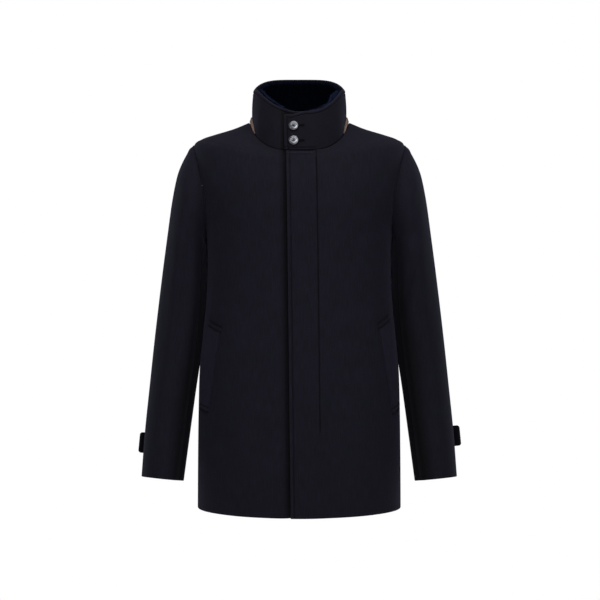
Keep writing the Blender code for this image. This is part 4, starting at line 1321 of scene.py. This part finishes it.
# Corners of the slit: share of the length, and of half the width
SLIT_CORNERS = [(-0.02, -1.2), (0.95, -1.2), (0.99, 0.0), (0.95, 1.2), (-0.02, 1.2)]


def add_buttonhole(name, height, thread, slit):
    """A worked buttonhole that runs from under the button away from the collar's end."""
    share, turn = collar_place(COLLAR_BUTTON_X, height)
    at, out = collar(share, turn), normals(collar, share, turn)
    ahead = unit(collar(share, turn - STEP) - at)
    up = np.cross(ahead, out)

    def stitch(start, reach):
        return np.stack([start, start + reach]), np.stack([out, out])

    lines = []
    for k in np.linspace(0, 1, HOLE_STITCHES):
        for way in (-1, 1):
            start = at + ahead * HOLE_LENGTH * (k - HOLE_START) + way * up * SLIT_HALF + out * HOLE_LIFT
            lines.append(stitch(start, way * up * HOLE_STITCH))
    bar = at + ahead * HOLE_LENGTH * HOLE_BAR_AT + out * SLIT_LIFT
    for k in np.linspace(-1, 1, HOLE_BAR_STITCHES):
        lines.append(stitch(bar + k * up * HOLE_BAR, ahead * HOLE_BAR))
    sewing = add_stitches(f"buttonhole_{name}_stitches", lines, thread)
    # A flat near-black sheet in the slit: painted shadow of the opening
    lifted = at + out * SLIT_LIFT
    flat = [lifted + ahead * HOLE_LENGTH * k + up * SLIT_HALF * way for k, way in SLIT_CORNERS]
    made = add_mesh(f"buttonhole_{name}_slit", flat, [range(len(flat))], slit, "navy_wool")
    return made, sewing


# Pile lining: its grid, its fibres, how it rolls and ripples, and its painted light and shade
PILE_ROWS = 30
PILE_COLUMNS = 200
PILE_FIBRES = 26000
RIM_FIBRES = 9000
RIM_ROWS = 12
FIBRE_LENGTH = 0.0036
FIBRE_SHORTEST = 0.6
CELL_LIMIT = 1.001
FIBRE_WIDTH = 0.00030
FIBRE_SPREAD = 0.45
FIBRE_LIFT = np.array([0.0, 0.0, 0.25])
ROLL_THICK = 0.0020
ROLL_LIT = 0.0120
RIPPLE = 0.0012
RIPPLE_WAVES = 23.0
RIPPLE_SWELLS = 9.0
RIPPLE_SHIFT = 1.0
RIPPLE_FROM = 0.4
RIPPLE_RISE = 0.5
PILE_DEEP = 0.10
PILE_LIT = 0.0035
PILE_FADE = 0.0038
PILE_BEHIND = 0.30
PILE_BACK_SHADE = 0.65


def add_pile(pile):
    """The collar's pile lining with its fibres: those of its inner side and those along its rim."""
    turns = np.linspace(PILE_END_RIGHT, PILE_END_LEFT, PILE_COLUMNS)[None, :]
    edge = FOLDED * PILE / 2
    height = (pile_top(turns) - PILE_FOOT).T
    lines = collar(PILE_FOOT + height * np.linspace(0, 1, DENSE)[None, :], turns.T)
    rows = (PILE_FOOT + height * spaced(lines, edge, edge, PILE_ROWS)).T
    points, out = collar(rows, turns), normals(collar, rows, turns)
    up, across = run(points, 0), run(points, 1)
    from_top = up[-1:] - up
    ends = np.minimum(np.minimum(up, from_top), np.minimum(across, across[:, -1:] - across))
    roll = pile_roll(rows, turns)
    ripple = RIPPLE * np.sin(turns * RIPPLE_WAVES) * np.sin(turns * RIPPLE_SWELLS + RIPPLE_SHIFT)
    inwards = pile_inwards(rows, turns) + ripple * smooth((rows - RIPPLE_FROM) / RIPPLE_RISE)
    outer, inner = cloth_faces(points, out, -inwards, 0.0, rounded(ends, PILE / 2), PILE + ROLL_THICK * roll)
    # Painted shade: the pile is darker below its top edge and further back, lit near the top and on its roll
    lit = 1 - PILE_BACK_SHADE * smooth((PILE_BEHIND - np.sin(turns)) / PILE_BEHIND)

    def shade_below(reach):
        return PILE_DEEP + (lit - PILE_DEEP) * (1 - smooth((from_top - reach) / PILE_FADE)) - 1

    shade, outer_shade = shade_below(PILE_LIT), shade_below(PILE_LIT / 2 + ROLL_LIT * roll)
    made = add_sheet("collar_pile", (outer, inner), pile, "navy_pile", outer_shade, shade)
    fibres = add_fibres("collar_pile_fibres", inner, grid_normals(inner, -out), shade, PILE_FIBRES, pile)
    rim = slice(-RIM_ROWS, None)
    facing = grid_normals(outer, out)
    rim_fibres = add_fibres("collar_pile_rim", outer[rim], facing[rim], outer_shade[rim], RIM_FIBRES, pile)
    return made, fibres, rim_fibres


def add_fibres(name, surface, towards, shade, count, finish):
    """Short tapering fibres that stand up from a grid of points."""
    rows, columns = surface.shape[:2]
    i = RANDOM.uniform(0, rows - CELL_LIMIT, count)
    j = RANDOM.uniform(0, columns - CELL_LIMIT, count)
    a, b = i.astype(int), j.astype(int)
    s, t = (i - a)[:, None], (j - b)[:, None]

    def between(grid):
        low = grid[a, b] * (1 - t) + grid[a, b + 1] * t
        return low * (1 - s) + (grid[a + 1, b] * (1 - t) + grid[a + 1, b + 1] * t) * s

    root, out = between(surface), unit(between(towards))
    grow = unit(out + RANDOM.normal(0, FIBRE_SPREAD, root.shape) + FIBRE_LIFT)
    side = unit(np.cross(grow, RANDOM.normal(0, 1, root.shape)))
    tip = root + grow * FIBRE_LENGTH * RANDOM.uniform(FIBRE_SHORTEST, 1.0, (len(root), 1))
    half = side * FIBRE_WIDTH / 2
    points = np.stack([root - half, root + half, tip], axis=1).reshape(-1, 3)
    faces = np.arange(len(points)).reshape(-1, 3)
    # Each fibre takes the painted shade at its root
    return add_mesh(name, points, faces, finish, "navy_pile", shade=np.repeat(shade[a, b], 3))


# Strip at the collar's foot
BAND_ROWS = 14
BAND_COLUMNS = 160


def add_band(finish):
    """The strip over the collar's foot, tapering to a point at each side."""
    turns = np.linspace(math.pi - BAND_TIP, 2 * math.pi + BAND_TIP, BAND_COLUMNS)[None, :]
    shares = np.linspace(0, 1, BAND_ROWS)[:, None, None]
    forward = np.abs(turns - 1.5 * math.pi) - math.pi / 2
    height = BAND_HEIGHT * (1 - BAND_TAPER * smooth(forward / BAND_TIP))
    outward = flat_outward(turns)
    top = collar(height, turns) + (SEAM_GAP + BAND_CLOTH) * normals(collar, height, turns)
    foot = body(NECK_ROW, turns) + np.array([0, 0, SEAM_GAP]) - SEAM_GAP * outward
    points = foot + (top - foot) * shares**BAND_CURVE
    up = run(points, 0)
    drop = rounded(np.minimum(up, up[-1:] - up), BAND_CLOTH / 2)
    faces = cloth_faces(points, outward, 0.0, 0.0, drop, BAND_CLOTH)
    return add_sheet("collar_band", faces, finish, "tan_suede")


# Pockets

WELT_ROWS = 60
WELT_COLUMNS = 12
WELT_TOP_LINES = (0.0018, 0.0122)
WELT_FOOT_LINES = (0.0018, 0.0108)
WELT_SIDE_LINE = 0.0026
WELT_SIDE_ENDS = 0.0065
WELT_SLOPE = 0.0060
WELT_RIM = 0.0007
# Painted light over the whole welt, and painted shade along its side stitches and bars
WELT_PAINTED_LIGHT = 0.45
WELT_LINE_SHADE = 0.90
BAR_SHADE = 1.40
BAR_LINE = 0.0025
BAR_DEPTH = 0.0013
BAR_FADE = 0.0040
FOOT_BAR_SHARE = 0.8
FOOT_BAR_NARROWS = 0.7


def welt_place(welt, down, across):
    """Body row and turn at shares of the way down a welt and across it."""

    def between(field):
        top = getattr(welt.top_front, field) * (1 - across) + getattr(welt.top_back, field) * across
        foot = getattr(welt.foot_front, field) * (1 - across) + getattr(welt.foot_back, field) * across
        return top * (1 - down) + foot * down

    return row_at(between("level")), np.radians(between("forward"))


def welt_ends(lines):
    """Distances from a welt's end at which rows of points lie."""
    ends = [FOLDED * WELT_CLOTH / 2] + [at + ROW_OF_STITCHES for at in lines]
    return np.unique(np.clip(np.concatenate(ends), 0, None))


def add_welt(side_name, finishes):
    """A slanted welt lying on the front, pressed flat along its sides, with a double bar at each end."""
    name, welt, side = f"pocket_welt_{side_name}", WELTS[side_name], SIDES[side_name]
    sides = np.r_[FOLDED * WELT_CLOTH / 2, WELT_SIDE_LINE + ROW_OF_STITCHES[ON_STITCH:], WELT_SIDE_ENDS]
    middle = body(*welt_place(welt, np.linspace(0, 1, DENSE)[None, :], np.array([[0.5]])))
    down = spaced(middle, welt_ends(WELT_TOP_LINES), welt_ends(WELT_FOOT_LINES), WELT_ROWS).T

    def place(across):
        return welt_place(welt, down, across)

    rows, turns, points = fine_grid(body, place, sides, sides, WELT_COLUMNS)
    out = normals(body, rows, turns)
    soft = -creased(mirrored(points, side), FRONT_CREASES)
    from_top, from_front = run(points, 0), run(points, 1)
    from_foot, from_back = from_top[-1:] - from_top, from_front[:, -1:] - from_front
    from_side = np.minimum(from_front, from_back)
    whole = WELT_CLOTH - (WELT_CLOTH - WELT_RIM) * (1 - smooth(from_side / WELT_SLOPE))
    drop = rounded(np.minimum(from_top, from_foot), WELT_CLOTH / 2)
    below_top = smooth((from_top - WELT_TOP_LINES[1]) / BAR_FADE)
    above_foot = smooth((from_foot - WELT_FOOT_LINES[1]) / BAR_FADE)
    fading = smooth(1 - from_top / from_top[-1:])
    side_line = bell(from_side - WELT_SIDE_LINE, STITCH_LINE) * below_top * above_foot * fading
    top_bars = sum(bell(from_top - at, BAR_LINE) for at in WELT_TOP_LINES)
    foot_bars = sum(bell(from_foot - at, BAR_LINE * FOOT_BAR_NARROWS) for at in WELT_FOOT_LINES)
    bars = top_bars + FOOT_BAR_SHARE * foot_bars
    thick = np.maximum(whole - 2 * drop, WELT_RIM / 2) - BAR_DEPTH * bars - STITCH_DEPTH / 2 * side_line
    inner = moved(points, LAID_GAP + soft + np.minimum(drop, whole / 2), out)
    outer = moved(inner, np.maximum(thick, WELT_RIM / 3), out)
    # Painted light over the welt, darkened by painted shade along its bars and side stitches
    shade = np.maximum(WELT_PAINTED_LIGHT - BAR_SHADE * bars - WELT_LINE_SHADE * side_line, DARKEST)
    centre = outer.shape[1] // 2
    bar_rows = [int(np.abs(from_top[:, centre] - at).argmin()) for at in WELT_TOP_LINES]
    bar_rows += [int(np.abs(from_foot[:, centre] - at).argmin()) for at in WELT_FOOT_LINES]
    places = [(row, slice(2, -2)) for row in bar_rows]
    places += [(slice(bar_rows[1], bar_rows[3]), column) for column in (len(FOLDED), -1 - len(FOLDED))]
    return add_sewn(name, side, (outer, inner), out, finishes, places, shade)


# Buttons and cuff straps

BUTTON_SIDES = 72
BUTTON_SHARP = math.radians(50)
WELD = 1e-6
HOLE_SIDES = 20
THREAD_LEVEL = 0.60
THREAD_SHIFT = 0.00028
THREAD_REACH = 1.12
THREAD_POINTS = 13
THREAD_ARCH = 0.0007
THREAD_DIVE = 0.0012
THREAD_BEND = 6
THREAD_RADIUS = 0.0003
SHANK_RADIUS = 0.0022
TUBE_SIDES = 8
NEAR_UPRIGHT = 0.9
# Button section from under its edge to its middle: share of the radius, share of the thickness
BUTTON_SECTION = [
    (0.00, 0.00),
    (0.60, 0.00),
    (0.82, 0.06),
    (0.95, 0.18),
    (1.00, 0.36),
    (0.985, 0.52),
    (0.93, 0.68),
    (0.83, 0.83),
    (0.70, 0.94),
    (0.56, 1.00),
    (0.46, 0.99),
    (0.39, 0.90),
    (0.33, 0.74),
    (0.27, 0.66),
    (0.00, 0.62),
]


def button_shell(name, finish):
    """A four-hole button with a raised rim, lying flat on z = 0."""
    mesh = bmesh.new()
    points = []
    for radius, height in BUTTON_SECTION:
        z = BUTTON_STAND + height * BUTTON_THICK
        points.append(mesh.verts.new((radius * BUTTON_RADIUS, 0, z)))
    outline = points + [mesh.edges.new(pair) for pair in zip(points, points[1:])]
    bmesh.ops.spin(mesh, geom=outline, axis=(0, 0, 1), cent=(0, 0, 0), steps=BUTTON_SIDES, angle=2 * math.pi)
    bmesh.ops.remove_doubles(mesh, verts=mesh.verts, dist=WELD)
    bmesh.ops.recalc_face_normals(mesh, faces=mesh.faces)
    made = from_bmesh(f"{name}_shell", mesh, finish)
    holes = bmesh.new()
    hole = {"radius1": HOLE_RADIUS, "radius2": HOLE_RADIUS, "depth": 4 * BUTTON_THICK}
    for k in range(4):
        angle = math.pi / 4 + k * math.pi / 2
        cone = bmesh.ops.create_cone(holes, cap_ends=True, segments=HOLE_SIDES, **hole)
        where = (HOLE_OFFSET * math.cos(angle), HOLE_OFFSET * math.sin(angle), BUTTON_STAND)
        bmesh.ops.translate(holes, verts=cone["verts"], vec=where)
    cutter = from_bmesh(f"{name}_holes", holes, finish)
    cut = made.modifiers.new("holes", "BOOLEAN")
    cut.operation = "DIFFERENCE"
    cut.object = cutter
    bpy.context.view_layer.update()
    drilled = bpy.data.meshes.new_from_object(made.evaluated_get(bpy.context.evaluated_depsgraph_get()))
    made.modifiers.clear()
    made.data = drilled
    bpy.data.objects.remove(cutter)
    drilled.shade_smooth()
    drilled.set_sharp_from_angle(angle=BUTTON_SHARP)
    return made


def tube(path, radius):
    """Points and faces of a round tube along a line of points."""
    ahead = unit(np.gradient(path, axis=0))
    helper = np.where(np.abs(ahead[:, 2:]) > NEAR_UPRIGHT, [[1.0, 0.0, 0.0]], [[0.0, 0.0, 1.0]])
    side = unit(np.cross(ahead, helper))
    return tubes(path, np.cross(side, ahead), side, radius, TUBE_SIDES)


def button_thread():
    """Points and faces of a button's thread: two crossed pairs of loops through the holes, and a shank."""
    t = np.linspace(-1, 1, THREAD_POINTS)
    bend = np.abs(t) ** THREAD_BEND
    level = BUTTON_STAND + BUTTON_THICK * THREAD_LEVEL + THREAD_ARCH * (1 - bend) - THREAD_DIVE * bend
    parts = []
    for angle in (math.pi / 4, 3 * math.pi / 4):
        ahead = np.array([math.cos(angle), math.sin(angle), 0.0])
        for shift in (-THREAD_SHIFT, THREAD_SHIFT):
            beside = np.array([-ahead[1], ahead[0], 0.0]) * shift
            loop = ahead * (t * HOLE_OFFSET * THREAD_REACH)[:, None] + beside
            loop[:, 2] = level
            parts.append(tube(loop, THREAD_RADIUS))
    parts.append(tube(np.array([[0, 0, 0.0], [0, 0, BUTTON_STAND]]), SHANK_RADIUS))
    return join(parts)


def add_button(name, seat, out, finish, thread):
    """A button sewn on at a point of the cloth, facing outwards."""
    made = button_shell(name, finish)
    turn = Vector(out).to_track_quat("Z", "Y").to_matrix()
    made.matrix_world = turn.to_4x4()
    made.location = seat
    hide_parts(name)
    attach(made, "root")
    points, faces = button_thread()
    add_mesh(f"{name}_thread", points @ np.array(turn).T + np.asarray(seat), faces, thread, "navy_wool")


# Straps: their stitches and painted shadow, and where points lie on them
STRAP_STITCH = 0.0045
STRAP_UNSHADED_TIP = 0.0065
STRAP_SHADE = 0.85
STRAP_COLUMNS = 40
STRAP_TIP_COLUMNS = 16
STRAP_TIP_START = 0.92
STRAP_TIP_POWER = 1.5
STRAP_ROWS = 5
STRAP_EDGE = np.r_[FOLDED * STRAP_CLOTH / 2, STRAP_STITCH + ROW_OF_STITCHES[1:]]
STRAP_LINE = len(FOLDED) + ON_STITCH - 1


def add_strap(name, side_name, finishes):
    """A cuff strap, flat on the sleeve's back and straight on to a rounded tip, and its button's place."""
    strap, side = STRAPS[side_name], SIDES[side_name]

    def surface(row, turn):
        out = sleeve_normals(row, turn)
        return moved(plain_sleeve(row, turn), -fold_depth(row, turn, SLEEVE_FOLDS[side_name]), out), out

    wrapped = np.linspace(STRAP_FROM, STRAP_LEAVES, STRAP_COLUMNS)
    straight = np.linspace(0, strap.free - STRAP_CORNER, STRAP_TIP_COLUMNS)[1:]
    corner = STRAP_CORNER * np.linspace(STRAP_TIP_START, 0, STRAP_TIP_COLUMNS) ** STRAP_TIP_POWER
    free = np.r_[straight, strap.free - corner]
    to_tip = np.r_[np.full(STRAP_COLUMNS, strap.free), strap.free - free]
    rounding = np.clip(1 - to_tip / STRAP_CORNER, 0, 1)
    narrowing = 1 - STRAP_CORNER / STRAP_HALF_WIDTH * (1 - np.sqrt(1 - rounding**2))
    inside = np.linspace(STRAP_EDGE[-1], STRAP_HALF_WIDTH, STRAP_ROWS)[1:]
    half = np.r_[STRAP_EDGE, inside] / STRAP_HALF_WIDTH - 1
    places = np.r_[half, -half[-2::-1]][:, None]
    rows = strap.row + STRAP_HALF_WIDTH / SLEEVE_ROW_LENGTH * places * narrowing
    on_cloth, on_out = surface(rows[:, :STRAP_COLUMNS], wrapped)
    off_rows, last = rows[:, STRAP_COLUMNS:], np.full(len(free), STRAP_LEAVES)
    leave, leave_out = surface(off_rows, last)
    ahead = unit(surface(off_rows, last + STEP)[0] - leave)
    points = np.concatenate([on_cloth, moved(leave, free, ahead)], axis=1)
    out = np.concatenate([on_out, leave_out], axis=1)
    edge = np.minimum((1 - np.abs(places)) * STRAP_HALF_WIDTH * narrowing, to_tip)
    height = press(edge - STRAP_STITCH)
    drop = rounded(edge, STRAP_CLOTH / 2)
    faces = cloth_faces(points, out, LAID_GAP + STRAP_CLOTH, height, drop, STRAP_CLOTH)
    # Painted shadow on the strap's inner side, clear only near its tip
    under_shade = -STRAP_SHADE * (1 - smooth(1 - to_tip / STRAP_UNSHADED_TIP))
    to_end = np.flatnonzero(to_tip >= STRAP_STITCH)
    lines = [(STRAP_LINE, to_end), (-1 - STRAP_LINE, to_end), (slice(STRAP_LINE, -STRAP_LINE), to_end[-1])]
    made = add_sewn(name, side, faces, out, finishes, lines, 0.0, under_shade)
    seat, seat_out = surface(np.array(strap.row), np.array(STRAP_BUTTON_TURN))
    seat = seat + (LAID_GAP + STRAP_CLOTH) * seat_out
    return made, (mirrored(seat, side), mirrored(seat_out, side))


# The coat

# The cut of a cloth piece: width, length and area laid flat, how it is held and what it hangs or lies on
Cut = namedtuple("Cut", "width length area held on")


def make_coat():
    """Every piece of the coat. Returns each sheet and what is sewn on it, by the name of its solid."""
    cloth, pile, tan, button = wool(), pile_finish(), suede(), shell()
    thread = plain("navy_thread", (0.0045, 0.0042, 0.0070), Roughness=0.8, Specular_IOR_Level=0.2)
    # Near-black finish for the buttonholes' slits: painted shadow
    slit = plain("slit_shadow", (0.0008, 0.0008, 0.0012), Roughness=1.0, Specular_IOR_Level=0.2)
    sewing = (cloth, thread)
    made = {}
    for side_name, side in SIDES.items():
        name = f"front_{side_name}"
        made[name] = add_front(name, side, sewing)
    made["back"] = add_back(sewing)
    for side_name in SIDES:
        upper, under = f"sleeve_{side_name}_upper", f"sleeve_{side_name}_under"
        made[upper] = [add_sleeve_piece(upper, side_name, BACK_SEAM - 2 * math.pi, FRONT_SEAM, cloth)]
        made[under] = [add_sleeve_piece(under, side_name, FRONT_SEAM, BACK_SEAM, cloth)]
    made["collar"] = add_collar(sewing, slit)
    made["collar_pile"] = add_pile(pile)
    made["collar_band"] = [add_band(tan)]
    for side_name in SIDES:
        made[f"pocket_welt_{side_name}"] = add_welt(side_name, sewing)
    for name, height in COLLAR_BUTTON_HEIGHTS.items():
        share, turn = collar_place(COLLAR_BUTTON_X, height)
        add_button(f"button_collar_{name}", collar(share, turn), normals(collar, share, turn), button, thread)
    for side_name in SIDES:
        name = f"cuff_strap_{side_name}"
        made[name], seat = add_strap(name, side_name, sewing)
        add_button(f"button_cuff_{side_name}", *seat, button, thread)
    return made


# The room

CAMERA_PLACE = (0.0016, -3.2, -0.363)
PICTURE_WIDTH = 1.23
SENSOR = 36.0
WORLD_GLOW = 0.05
FLOOR_Z = -1.45
FLOOR_RADIUS = 1.9
FLOOR_GLOW = 0.35
FLOOR_COLOUR = (0.85, 0.85, 0.86)
BACKDROP_RADIUS = 14.0
LIT_POINT = Vector((0, -0.05, -0.36))
WHITE = (1.0, 1.0, 1.0)
COOL = (0.78, 0.86, 1.0)
Light = namedtuple("Light", "name place size watts colour glossy")
LIGHTS = [
    Light("key_softbox", (0.2, -3.0, 1.4), (1.8, 1.4), 48, WHITE, True),
    Light("left_softbox", (-2.2, -2.3, 0.5), (1.2, 2.0), 9, WHITE, True),
    Light("right_softbox", (2.3, -2.1, 0.7), (1.2, 2.0), 9, WHITE, True),
    Light("left_strip", (-2.2, 1.2, 0.3), (0.9, 2.4), 9, COOL, True),
    Light("right_strip", (2.2, 1.2, 0.3), (0.9, 2.4), 9, COOL, True),
    Light("top_softbox", (0.0, -0.2, 2.0), (1.8, 1.0), 9, WHITE, True),
    Light("back_softbox", (0.0, 3.2, 0.6), (2.2, 1.6), 60, WHITE, False),
]


def make_stage():
    """The floor, and a white surround that only shows behind the coat and gives no light."""
    disc = bmesh.new()
    bmesh.ops.create_circle(disc, cap_ends=True, segments=96, radius=FLOOR_RADIUS)
    bmesh.ops.translate(disc, verts=disc.verts, vec=(0, 0, FLOOR_Z))
    floor = from_bmesh("floor", disc, glowing("pale_floor", FLOOR_COLOUR, FLOOR_GLOW))
    floor.visible_diffuse = False
    ball = bmesh.new()
    bmesh.ops.create_uvsphere(ball, u_segments=32, v_segments=16, radius=BACKDROP_RADIUS)
    backdrop = from_bmesh("backdrop", ball, glowing("white_backdrop", (0.0, 0.0, 0.0), 1.0))
    backdrop.visible_diffuse = False
    backdrop.visible_glossy = False
    backdrop.visible_transmission = False
    backdrop.visible_shadow = False


def add_light(light):
    """An area light that faces the coat and doesn't show itself."""
    lamp = bpy.data.lights.new(light.name, "AREA")
    lamp.color = light.colour
    lamp.shape = "RECTANGLE"
    lamp.size, lamp.size_y = light.size
    lamp.energy = light.watts
    made = bpy.data.objects.new(light.name, lamp)
    made.location = light.place
    made.visible_camera = False
    made.visible_glossy = light.glossy
    made.rotation_mode = "QUATERNION"
    made.rotation_quaternion = (LIT_POINT - Vector(light.place)).to_track_quat("-Z", "Y")
    bpy.context.scene.collection.objects.link(made)


def add_camera():
    """A level camera in front of the coat."""
    camera = bpy.data.cameras.new("camera")
    camera.sensor_width = SENSOR
    camera.lens = SENSOR * -CAMERA_PLACE[1] / PICTURE_WIDTH
    camera.dof.use_dof = False
    made = bpy.data.objects.new("camera", camera)
    made.location = CAMERA_PLACE
    made.rotation_euler = (math.radians(90), 0, 0)
    bpy.context.scene.collection.objects.link(made)
    bpy.context.scene.camera = made


def make_room():
    """A bright studio with soft lights all round."""
    world = bpy.data.worlds.new("studio")
    world.use_nodes = True
    background = world.node_tree.nodes["Background"]
    set_inputs(world.node_tree, background, Color=(1, 1, 1, 1), Strength=WORLD_GLOW)
    bpy.context.scene.world = world
    make_stage()
    for light in LIGHTS:
        add_light(light)
    add_camera()
    bpy.context.scene.view_settings.view_transform = "Standard"


coat = make_coat()
make_room()
bpy.context.view_layer.update()
